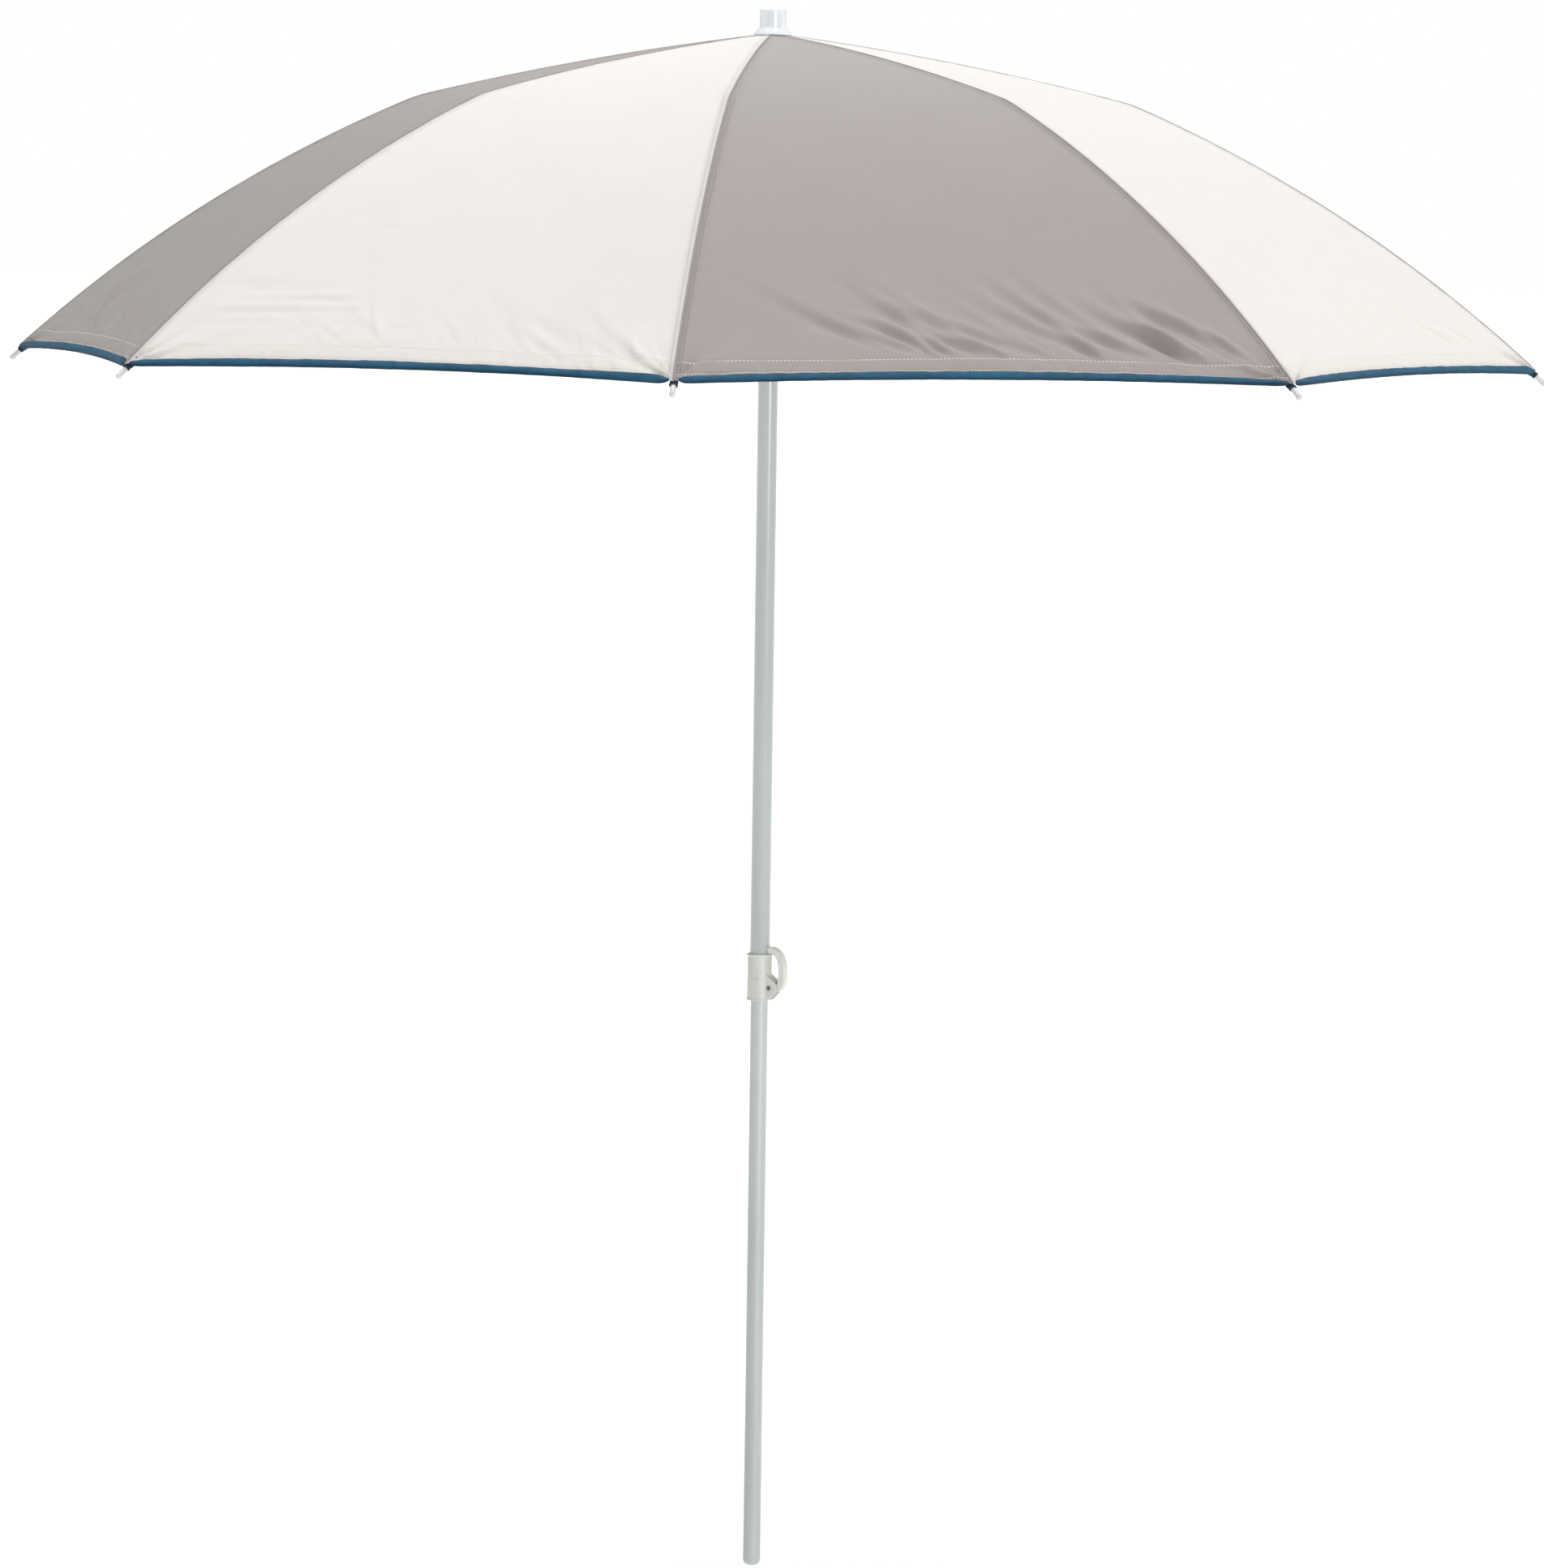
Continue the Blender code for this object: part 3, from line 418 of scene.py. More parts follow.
def painted_material(name, colour, coat_roughness):
    """Powder-coated tube: faint orange peel, fine scuffs and slow drifts in its tone."""
    graph = Graph(name)
    place = graph.place()
    peel = graph.noise(place, 900.0, 1.0)
    scuff = graph.noise(graph.stretch(place, (500.0, 500.0, 12.0)), 1.0, 4.0, 0.65)
    drift = graph.noise(graph.stretch(place, (20.0, 20.0, 4.0)), 1.0, 3.0)
    tone = graph.tone(drift, colour, 0.95, 1.05)
    tone = graph.mix(graph.range(scuff, 0.62, 0.8, 0.0, 0.3), tone, scaled(colour, 1.12))
    normal = graph.bump(peel, 0.00004, 0.12)
    normal = graph.bump(scuff, 0.00003, 0.12, normal)
    graph.set(Base_Color=tone, Normal=normal, Roughness=graph.range(scuff, 0.4, 0.8, 0.26, 0.42))
    graph.set(Specular_IOR_Level=0.2, Coat_Weight=1.0, Coat_Roughness=coat_roughness, Coat_IOR=1.5)
    return graph.material


def seam_material():
    """The seam's folded edge: the taupe cloth drawn tight by its stitches, painted darker as shade in the
    fold.
    """
    graph = Graph("Seam edge")
    along = graph.attribute("along")
    stitch = dashes(graph, along, CORD_STITCH_PITCH)
    fibres = graph.noise(graph.place(), 700.0, 3.0, 0.6)
    # Painted shade: the fold's tone is held at 0.6 to 0.8 of the taupe, standing in for shade in the seam.
    tone = graph.tone(fibres, TAUPE, 0.6, 0.8)
    normal = graph.bump(stitch, 0.0003, 0.5)
    normal = graph.bump(fibres, 0.0002, 0.4, normal)
    graph.set(Base_Color=tone, Normal=normal, Roughness=graph.range(fibres, 0.2, 0.8, 0.8, 0.92))
    graph.set(Specular_IOR_Level=0.2)
    return graph.material


def wire_material():
    """Galvanised spring wire: drawn streaks along it and duller patches."""
    graph = Graph("Frame wire")
    place = graph.place()
    patch = graph.noise(place, 120.0, 4.0, 0.6)
    streak = graph.noise(graph.stretch(place, (900.0, 900.0, 60.0)), 1.0, 2.0)
    tone = graph.tone(patch, WIRE, 0.8, 1.15)
    normal = graph.bump(streak, 0.00005, 0.5)
    graph.set(Base_Color=tone, Normal=normal, Metallic=0.9)
    graph.set(Roughness=graph.range(patch, 0.3, 0.7, 0.3, 0.46))
    return graph.material


def plastic_material(name, colour, roughness, see_through_and_glow=0.0, shine=0.5):
    """Moulded plastic: a fine grain, faint flow marks and soft wear."""
    graph = Graph(name)
    place = graph.place()
    grain = graph.noise(place, 1400.0, 2.0)
    flow = graph.noise(graph.stretch(place, (90.0, 90.0, 25.0)), 1.0, 3.0, 0.6)
    tone = graph.tone(flow, colour, 0.95, 1.04)
    normal = graph.bump(grain, 0.00004, 0.4)
    normal = graph.bump(flow, 0.0003, 0.15, normal)
    graph.set(Base_Color=tone, Normal=normal, Specular_IOR_Level=shine)
    graph.set(Roughness=graph.range(flow, 0.3, 0.7, roughness - 0.05, roughness + 0.07))
    graph.set(Subsurface_Weight=0.12, Subsurface_Radius=(0.004, 0.004, 0.003), Subsurface_Scale=0.5)
    if see_through_and_glow:
        # Painted light: see-through plastic also glows faintly in its own colour, standing in for light
        # carried through it.
        graph.set(Emission_Color=(*colour, 1.0), Emission_Strength=0.1)
        graph.blend(graph.node("BsdfTransparent").outputs[0], see_through_and_glow)
    return graph.material


# ---- meshes ----


def placed(name, data):
    """A new object in the scene."""
    obj = bpy.data.objects.new(name, data)
    bpy.context.scene.collection.objects.link(obj)
    return obj


def make_piece(name, mesh, body, material, node=None):
    """A finished piece that rides on a body, and may stand for a CAD node."""
    mesh.materials.clear()
    mesh.materials.append(material)
    obj = placed(name, mesh)
    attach(obj, body)
    if node:
        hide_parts(node)
    return obj


def finished(shape, name):
    """The bmesh as a new mesh."""
    mesh = bpy.data.meshes.new(name)
    shape.to_mesh(mesh)
    shape.free()
    return mesh


def smooth(mesh, angle=32):
    mesh.shade_smooth()
    mesh.set_sharp_from_angle(angle=radians(angle))
    return mesh


def turned(name, profile, sides=TUBE_SIDES, angle=32):
    """A profile of (radius, height) turned about Z. It starts and ends on the axis, or is a closed ring."""
    closed = profile[0][0] > 0.0
    shape = bmesh.new()
    rings = []
    for radius, height in profile:
        if radius == 0.0:
            rings.append([shape.verts.new((0.0, 0.0, height))] * sides)
            continue
        turns = [tau * i / sides for i in range(sides)]
        rings.append([shape.verts.new((radius * cos(t), radius * sin(t), height)) for t in turns])
    pairs = list(zip(rings, rings[1:])) + ([(rings[-1], rings[0])] if closed else [])
    for near, far in pairs:
        for i in range(sides):
            corners = [near[i - 1], near[i], far[i], far[i - 1]]
            shape.faces.new(list(dict.fromkeys(corners)))
    bmesh.ops.recalc_face_normals(shape, faces=shape.faces)
    return smooth(finished(shape, name), angle)


def rounded(low, high, radius, steps=5, start=0.0, turn=90.0):
    """Points round a corner centred on (low, high), from one angle on by turn degrees."""
    angles = [radians(start + turn * i / steps) for i in range(steps + 1)]
    return [(low + radius * cos(a), high + radius * sin(a)) for a in angles]


def refined(node, body, material, bevel=0.0003, angle=38):
    """The CAD node's own shape, welded, softened at its edges and shaded smooth."""
    source = NODES[node]
    shape = bmesh.new()
    shape.from_mesh(source.data)
    bmesh.ops.remove_doubles(shape, verts=shape.verts, dist=0.000005)
    bmesh.ops.dissolve_limit(shape, angle_limit=radians(1.0), verts=shape.verts, edges=shape.edges)
    mesh = smooth(finished(shape, node + "_finish"), angle)
    obj = make_piece(node + "_finish", mesh, body, material, node)
    if bevel:
        edges = obj.modifiers.new("Soft edges", "BEVEL")
        edges.width = bevel
        edges.segments = 2
        edges.limit_method = "ANGLE"
        edges.angle_limit = radians(angle)
        edges.harden_normals = True
    return obj


def swept(name, centres, sideways, upwards, section, sizes):
    """A closed tube: the section's (sideways, upwards) points carried along the centres."""
    shape = bmesh.new()
    rings = []
    for centre, side, up, size in zip(centres, sideways, upwards, sizes):
        rings.append([shape.verts.new(centre + side * a * size + up * b * size) for a, b in section])
    count = len(section)
    for near, far in zip(rings, rings[1:]):
        for i in range(count):
            shape.faces.new((near[i - 1], near[i], far[i], far[i - 1]))
    shape.faces.new(rings[0])
    shape.faces.new(list(reversed(rings[-1])))
    bmesh.ops.recalc_face_normals(shape, faces=shape.faces)
    return smooth(finished(shape, name), 60)


def ellipse(wide, high, sides=14, middle=(0.0, 0.0)):
    turns = [tau * i / sides for i in range(sides)]
    return [(middle[0] + wide * cos(t), middle[1] + high * sin(t)) for t in turns]


# ---- canopy ----


def arc(start, end, turn, fraction):
    """A point on the arc from start to end that bends down by `turn` along its length."""
    chord = end - start
    radius = chord.length / (2 * sin(turn / 2))
    heading = atan2(chord.y, chord.x) + turn / 2
    bend = turn * fraction
    x = radius * (sin(heading) - sin(heading - bend))
    z = radius * (cos(heading - bend) - cos(heading))
    return start + Vector((x, z))


def rib_azimuth(number):
    return HALF_STEP + (number - 1) * RIB_STEP


def directions(azimuth):
    """Level unit vectors outwards from the pole and round it."""
    out = Vector((cos(azimuth), sin(azimuth), 0.0))
    return out, Vector((-out.y, out.x, 0.0))


def in_plane(out, point):
    """A (radius, height) point or direction in a rib's plane, in the model's own axes."""
    return out * point.x + Vector((0.0, 0.0, point.y))


def rib_point(distance):
    if distance <= INNER_LENGTH:
        return arc(CROWN, KNEE, INNER_TURN, distance / INNER_LENGTH)
    return arc(KNEE, TIP, OUTER_TURN, (distance - INNER_LENGTH) / OUTER_LENGTH)


def softened(distances, values, width):
    """Values averaged along the rib over a few widths, less so near the two ends."""
    reach = np.minimum(1.0, np.minimum(distances - distances[0], distances[-1] - distances) / (2 * width))
    total, weights = np.zeros_like(values), 0.0
    for offset in np.linspace(-2.0, 2.0, 21):
        weight = exp(-(offset**2))
        total += weight * np.interp(distances + offset * width * reach, distances, values)
        weights += weight
    return total / weights


def seam_profile():
    """Distances along a rib, with the seam's radius and height there."""
    distances = np.linspace(FIRST, LAST, 600)
    points = []
    for distance in distances:
        along = (rib_point(distance + 0.002) - rib_point(distance - 0.002)).normalized()
        points.append(rib_point(distance) + CLOTH_LIFT * Vector((-along.y, along.x)))
    radii, heights = np.array(points).T
    return soft_profile(distances, radii, heights, SEAM_SOFTENING)


def soft_profile(distances, radii, heights, width):
    return distances, softened(distances, radii, width), softened(distances, heights, width)


SEAM = seam_profile()
MIDDLE = soft_profile(*SEAM, KNEE_SOFTENING)


def ramp(values, width):
    """0 where the values are 0 or less, rising to 1 at a width."""
    return np.clip(values / width, 0.0, 1.0)


def lattice(rng, across, along, wide, high):
    """Smooth random values from -1 to 1, with cells of wide by high metres."""
    u, v = (across + 0.5) / wide, (along + 0.1) / high
    table = rng.uniform(-1.0, 1.0, (int(u.max()) + 3, int(v.max()) + 3))
    i, j = u.astype(int), v.astype(int)
    a, b = u - i, v - j
    a, b = a * a * (3 - 2 * a), b * b * (3 - 2 * b)
    near = table[i, j] * (1 - a) + table[i + 1, j] * a
    far = table[i, j + 1] * (1 - a) + table[i + 1, j + 1] * a
    return near * (1 - b) + far * b


def fold(across, up, start, angle, length, width, height, bend):
    """One soft crease: a ridge with a valley beside it, fading out at both ends."""
    heading = (cos(angle), sin(angle))
    x, y = across - start[0], up - start[1]
    run = (x * heading[0] + y * heading[1]) / length
    reach = np.clip(run, 0.0, 1.0)
    off = (-x * heading[1] + y * heading[0] - bend * length * reach**2) / (width * (0.6 + 0.9 * reach))
    fade = reach**0.7 * (1.0 - reach) ** 1.2 * 2.6
    return height * fade * (np.exp(-(off**2)) - 0.75 * np.exp(-((off - 1.5) ** 2)))


def corner_creases(rng, across, up, half_width, side):
    """Creases that fan out of a lower corner, where the cloth is pulled tight to the rib's tip."""
    x, y = half_width - side * across, up
    reach = np.hypot(x, y) + 1e-6
    angle = np.arctan2(y, np.maximum(x, 0.0))
    waves = np.zeros_like(reach)
    for count, phase in zip(CREASE_WAVES, rng.uniform(0.0, tau, len(CREASE_WAVES))):
        waves += np.sin(count * angle + phase) / count
    fade = np.exp(-reach / CREASE_REACH) * ramp(reach, 0.02)
    inside = ramp(angle, 0.12) * ramp(1.25 - angle, 0.2)
    return CREASE_HEIGHT * waves * fade * inside


def waves_of(kind, rng, across, along):
    """Random wrinkles of one kind, at their full height."""
    return kind.height * lattice(rng, across, along, kind.wide, kind.high)


def diagonal_folds(rng, across, hem, seam, tall, count):
    """Soft creases that rise from the hem's stitches and lean to one side."""
    off = np.zeros_like(across)
    for _ in range(count):
        spot = (rng.uniform(-0.12, 0.3), HEM_STITCH + rng.uniform(-0.002, 0.012))
        lean = pi - radians(rng.uniform(26, 52))
        size = rng.uniform(0.07, 0.22)
        height = tall * rng.uniform(0.4, 1.0)
        bend = rng.uniform(-0.25, 0.1)
        width = 0.0035 + 0.024 * size
        off += fold(across, hem, spot, lean, size, width, height, bend) * ramp(seam, 0.03)
    return off


def wrinkles(panel, across, along, hem, seam, half_width):
    """How far the cloth stands off its smooth surface, in metres."""
    rng = np.random.default_rng(40 + panel)
    low = ramp(along, along + hem)
    inland = ramp(seam, 0.05) * ramp(hem, 0.02)
    taupe = panel % 2 == 1
    off = inland * low * waves_of(BROAD, rng, across, along)
    off += inland * low**2 * waves_of(SMALL, rng, across, along)
    patch = np.clip(lattice(rng, across, along, 0.12, 0.07), 0.0, 1.0)
    patch = patch * (0.25 + np.exp(-(((hem - LEVEL_HEIGHT_ABOVE_HEM) / 0.05) ** 2)))
    patch = patch * (TAUPE_LEVEL_SHARE if taupe else 1.0)
    off += inland * low * patch * waves_of(LEVEL, rng, across, along + 0.06 * across)
    for side in (1, -1):
        off += corner_creases(rng, across, hem, half_width, side)
    tall, count = (FOLD_HEIGHT, TAUPE_FOLDS) if taupe else (CREAM_FOLD_SHARE * FOLD_HEIGHT, CREAM_FOLDS)
    off += diagonal_folds(rng, across, hem, seam, tall, count)
    ripple = waves_of(HEM_RIPPLE, rng, across + 0.55 * hem * np.sign(across), hem)
    band = ramp(HEM_STITCH - hem, 0.004) * ramp(hem, 0.008)
    above = ramp(hem - HEM_STITCH, 0.004) * np.exp(-(hem - HEM_STITCH) / 0.02)
    off += (band + above) * ripple * ramp(seam, 0.02)
    pucker = waves_of(SEAM_PUCKER, rng, along, across + 0.4)
    off += pucker * np.exp(-(((seam - SEAM_BAND) / 0.008) ** 2))
    off += SEAM_RISE * ramp(SEAM_BAND - seam, 0.0015) * ramp(seam, 0.002)
    return off


def panel_grid(panel):
    """A whole panel's points, normals and cloth measures, as rows from the crown to the hem."""
    columns = np.linspace(-1.0, 1.0, 2 * HALF_COLUMNS + 1)
    bow = 1.0 - columns**2
    ends = LAST - SCALLOP * bow
    inner = np.linspace(FIRST, INNER_LENGTH, INNER_ROWS, endpoint=False)[:, None] + 0.0 * ends
    share = np.linspace(0.0, 1.0, OUTER_ROWS + 1)[:, None]
    outer = INNER_LENGTH + (ends - INNER_LENGTH) * share
    s = np.vstack([inner, outer])
    bow = np.broadcast_to(bow, s.shape)
    radius = (1 - bow) * np.interp(s, SEAM[0], SEAM[1]) + bow * np.interp(s, MIDDLE[0], MIDDLE[1])
    height = (1 - bow) * np.interp(s, SEAM[0], SEAM[2]) + bow * np.interp(s, MIDDLE[0], MIDDLE[2])
    half_width = radius * sin(HALF_STEP)
    across = half_width * columns
    points = np.stack([radius * cos(HALF_STEP), across, height], axis=-1)
    along, hem = s - FIRST, ends - s
    seam = half_width - np.abs(across)
    normals = grid_normals(points)
    off = wrinkles(panel, across, along, hem, seam, half_width)
    off -= SAG * bow * np.sin(pi * ramp(along, along + hem)).clip(0.0) ** 0.8
    points = points + normals * off[..., None]
    normals = grid_normals(points)
    turn = np.array(Matrix.Rotation(panel * RIB_STEP, 3, "Z"))
    measures = {"along": along, "across": across, "hem": hem, "seam": seam}
    return points @ turn.T, normals @ turn.T, measures


def grid_normals(points):
    down = np.gradient(points, axis=0)
    over = np.gradient(points, axis=1)
    normals = np.cross(down, over)
    return normals / np.linalg.norm(normals, axis=-1, keepdims=True)


def cloth_mesh(name, points, normals, measures):
    rows, columns = points.shape[:2]
    index = np.arange(rows * columns).reshape(rows, columns)
    faces = np.stack([index[:-1, :-1], index[1:, :-1], index[1:, 1:], index[:-1, 1:]], axis=-1)
    mesh = bpy.data.meshes.new(name)
    mesh.from_pydata(points.reshape(-1, 3).tolist(), [], faces.reshape(-1, 4).tolist())
    for key, values in measures.items():
        layer = mesh.attributes.new(key, "FLOAT", "POINT")
        layer.data.foreach_set("value", np.ascontiguousarray(values, np.float32).ravel())
    mesh.shade_smooth()
    mesh.normals_split_custom_set_from_vertices(normals.reshape(-1, 3).tolist())
    return mesh


def seam_point(distance):
    """(radius, height) of the seam over a rib, at a distance along the rib."""
    return Vector((np.interp(distance, SEAM[0], SEAM[1]), np.interp(distance, SEAM[0], SEAM[2])))


def gather(piece):
    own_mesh(piece)


def cloth_bands():
    """The bands each panel is cut into, with their rows and their distances along the rib."""
    inner = np.linspace(FIRST, INNER_LENGTH, INNER_ROWS + 1)
    outer = np.linspace(INNER_LENGTH, LAST, OUTER_ROWS + 1)
    bands = []
    parts = (("upper", UPPER_BANDS, inner, 0), ("lower", LOWER_BANDS, outer, INNER_ROWS))
    for part, cuts, distances, offset in parts:
        for number, (top, bottom) in enumerate(zip(cuts, cuts[1:]), 1):
            rows = slice(top + offset, bottom + offset + 1)
            bands.append(Band(f"{part}_{number}", part, rows, distances[top], distances[bottom]))
    return bands


def add_panel(panel, material, tape):
    """One canopy panel: two halves, cut at the knees and into bands, each band riding its rib's inner or
    outer part.
    """
    points, normals, measures = panel_grid(panel)
    bands = cloth_bands()
    middle = HALF_COLUMNS
    for side, columns in ((-1, slice(0, middle + 1)), (1, slice(middle, None))):
        rib = panel if side < 0 else panel % RIBS + 1
        half = "left" if side < 0 else "right"
        binding = add_binding(f"binding_{panel}_{half}", points, normals, side, rib, tape)
        gather(binding)
        for band in bands:
            inner = band.part == "upper"
            body = f"rib_{rib}" if inner else f"rib_end_{rib}"
            grid = points[band.rows, columns]
            cut = {key: values[band.rows, columns] for key, values in measures.items()}
            name = f"canopy_{panel}_{half}_{band.name}"
            mesh = cloth_mesh(name, grid, normals[band.rows, columns], cut)
            piece = make_piece(name, mesh, body, material, f"gore_{panel}")
            gather(piece)


def point_between(stop, lengths, points):
    """The point at a length along a line of points."""
    return Vector([np.interp(stop, lengths, points[:, i]) for i in range(3)])


def add_binding(name, points, normals, side, rib, material):
    """The blue tape rolled over the hem, from near the rib's tip to the panel's middle."""
    edge, before = points[-1], points[-2]
    half = slice(0, HALF_COLUMNS + 1) if side < 0 else slice(HALF_COLUMNS, None)
    edge, before, up = edge[half], before[half], normals[-1][half]
    if side > 0:
        edge, before, up = edge[::-1], before[::-1], up[::-1]
    lengths = np.concatenate([[0.0], np.cumsum(np.linalg.norm(np.diff(edge, axis=0), axis=1))])
    stops = np.arange(BINDING_END[-1] + BINDING_STEP, lengths[-1] - BINDING_GAP, BINDING_STEP)
    stops = BINDING_GAP + np.concatenate([BINDING_END, stops])
    stops = np.append(stops[stops < lengths[-1] - 0.002], lengths[-1])
    centres, sideways, upwards = [], [], []
    for stop in stops:
        at = point_between(stop, lengths, edge)
        over = (at - point_between(stop, lengths, before)).normalized()
        centres.append(at - over * BINDING_INSET)
        sideways.append(over)
        upwards.append(point_between(stop, lengths, up).normalized())
    sizes = [*BINDING_END_SIZES] + [1.0] * (len(stops) - len(BINDING_END_SIZES))
    section = ellipse(BINDING_REACH, BINDING_THICKNESS)
    mesh = swept(name, centres, sideways, upwards, section, sizes)
    write_run(mesh, stops, len(section), BINDING_REACH)
    return make_piece(name, mesh, f"rib_end_{rib}", material)


def run_at(points, index):
    """The direction of a line of points at one of them."""
    return (points[min(index + 1, len(points) - 1)] - points[max(index - 1, 0)]).normalized()


def tape_section(width):
    """The tape under a seam in section: a flat strip folded over the rib, sloping down on both sides."""
    edge = (width, -SEAM_TAPE_DEPTH - SEAM_TAPE_SLOPE * width)
    top = [(-edge[0], edge[1]), (0.0, -SEAM_TAPE_DEPTH), edge]
    return top + [(x, y - SEAM_TAPE_THICKNESS) for x, y in reversed(top)]


def add_seam(number, material):
    """The folded edge of the seam along a rib, in two lengths that follow the rib's two halves."""
    out, round_pole = directions(rib_azimuth(number))
    for part, start, end, body, width in (
        ("upper", FIRST + SEAM_START, INNER_LENGTH, f"rib_{number}", SEAM_TAPE_UPPER),
        ("lower", INNER_LENGTH, LAST - SEAM_END, f"rib_end_{number}", SEAM_TAPE_LOWER),
    ):
        stops = np.linspace(start, end, SEAM_STOPS)
        centres = [in_plane(out, seam_point(stop) + Vector((0.0, SEAM_LIFT))) for stop in stops]
        upwards = [run_at(centres, index).cross(round_pole).normalized() for index in range(SEAM_STOPS)]
        sideways, sizes = [round_pole] * SEAM_STOPS, [1.0] * SEAM_STOPS
        cord = ellipse(SEAM_CORD, 0.5 * SEAM_CORD, 10)
        for name, section in (("seam", cord), ("seam_tape", tape_section(width))):
            mesh = swept(name, centres, sideways, upwards, section, sizes)
            write_run(mesh, stops, len(section), SEAM_CORD)
            make_piece(f"{name}_{number}_{part}", mesh, body, material)


def write_run(mesh, stops, sides, radius):
    """Stores how far along and round a swept piece each point is, for its weave."""
    along = mesh.attributes.new("along", "FLOAT", "POINT")
    across = mesh.attributes.new("across", "FLOAT", "POINT")
    along.data.foreach_set("value", np.repeat(np.array(stops, np.float32), sides))
    turn = np.tile(np.sin(np.arange(sides) * tau / sides) * radius, len(stops))
    across.data.foreach_set("value", turn.astype(np.float32))


def add_tip_loop(number, material):
    """The small blue pocket that holds the cloth to a rib's end."""
    out, round_pole = directions(rib_azimuth(number))
    along = in_plane(out, (TIP - rib_point(LAST)).normalized())
    up = along.cross(-round_pole)
    base = in_plane(out, rib_point(LAST))
    stops, sizes, lifts = zip(*LOOP_SECTIONS)
    count = len(LOOP_SECTIONS)
    centres = [base + along * stop + up * lift for stop, lift in zip(stops, lifts)]
    section = ellipse(LOOP_WIDTH, LOOP_THICKNESS)
    mesh = swept("tip loop", centres, [round_pole] * count, [up] * count, section, sizes)
    write_run(mesh, stops, len(section), 0.0045)
    return make_piece(f"tip_loop_{number}", mesh, f"rib_end_{number}", material)


# ---- hard parts ----


def add_tubes(upper_paint, lit_lower_paint, plastic):
    """The two tubes, the upper one open at its lip and the lower one closed at its foot."""
    low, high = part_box("upper_tube")
    profile = [
        (UPPER_RADIUS - TUBE_WALL, low.z + TUBE_LIP),
        *rounded(UPPER_RADIUS - TUBE_LIP, low.z + TUBE_LIP, TUBE_LIP, 3, -90.0),
        (UPPER_RADIUS, high.z),
        (UPPER_RADIUS - TUBE_WALL, high.z),
    ]
    mesh = turned("upper tube", profile)
    make_piece("upper_tube_finish", mesh, "upper_pole", upper_paint, "upper_tube")
    low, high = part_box("lower_tube")
    middle = LOWER_RADIUS - FOOT_ROUNDING
    profile = [
        (0.0, low.z),
        *rounded(middle, low.z + FOOT_ROUNDING, FOOT_ROUNDING, 10, -90.0),
        (LOWER_RADIUS, high.z),
        (LOWER_RADIUS - TUBE_WALL, high.z),
        (LOWER_RADIUS - TUBE_WALL, low.z + FOOT_ROUNDING),
        (0.0, low.z + FOOT_WALL),
    ]
    mesh = turned("lower tube", profile)
    make_piece("lower_tube_finish", mesh, "lower_pole", lit_lower_paint, "lower_tube")
    refined("guide_bush", "lower_pole", plastic)


def add_cap(shell, core):
    """Milky cap: a cylinder over a flared skirt, with its stem showing through as a darker core."""
    low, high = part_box("top_cap")
    rim, radius, shoulder = high.x, CAP_RADIUS, high.z - CAP_HEIGHT
    edge, flare = 0.0016, 0.003
    profile = [
        (0.0, high.z),
        (radius - flare, high.z),
        *rounded(radius - edge, high.z - edge, edge, 5, 90.0, -90.0),
        (radius, shoulder + 0.002),
        *rounded(radius + flare, shoulder + 0.0012, flare, 5, 180.0, 60.0),
        (rim - 0.0006, shoulder - 0.0062),
        (rim, shoulder - 0.0072),
        (rim - 0.0004, shoulder - 0.008),
        (radius - 0.001, shoulder - 0.0056),
        (CAP_BORE, shoulder - 0.004),
        (CAP_BORE, high.z - 0.002),
        (0.0, high.z - 0.002),
    ]
    mesh = turned("cap shell", profile)
    make_piece("top_cap_shell", mesh, "upper_pole", shell, "top_cap")
    edge = 0.001
    profile = [
        (0.0, high.z - 0.0024),
        *rounded(CAP_CORE_RADIUS - edge, high.z - 0.0024 - edge, edge, 4, 90.0, -90.0),
        (CAP_CORE_RADIUS, shoulder - 0.003),
        (CAP_STEM, shoulder - 0.0036),
        (CAP_STEM, low.z),
        (0.0, low.z),
    ]
    make_piece("top_cap_core", turned("cap core", profile), "upper_pole", core)


def add_frame(wire):
    for number in range(1, RIBS + 1):
        for node, body in FRAME_PARTS:
            refined(f"{node}_{number}", f"{body}_{number}", wire, 0.0)


def add_tip_cap(number, material):
    """A white plastic cap with a ball end, on the last of a rib's wire."""
    end = rib_point(INNER_LENGTH + OUTER_LENGTH)
    line = (end - rib_point(INNER_LENGTH + OUTER_LENGTH - TIP_LENGTH)).normalized()
    profile = [
        (0.0, 0.0),
        *rounded(0.0, -TIP_BALL, TIP_BALL, 8, 80.0, -110.0),
        (TIP_SLEEVE, -TIP_NECK),
        (TIP_SLEEVE * 0.97, -TIP_LENGTH + 0.0005),
        (TIP_SLEEVE * 0.85, -TIP_LENGTH),
        (0.0, -TIP_LENGTH),
    ]
    mesh = turned("tip cap", profile, 32, 50)
    heading = Matrix.Rotation(pi / 2 - atan2(line.y, line.x), 4, "Y")
    turn = Matrix.Rotation(rib_azimuth(number), 4, "Z")
    mesh.transform(turn @ Matrix.Translation((end.x, 0.0, end.y)) @ heading)
    node = f"rib_tip_{number}"
    make_piece(node + "_finish", mesh, f"rib_end_{number}", material, node)


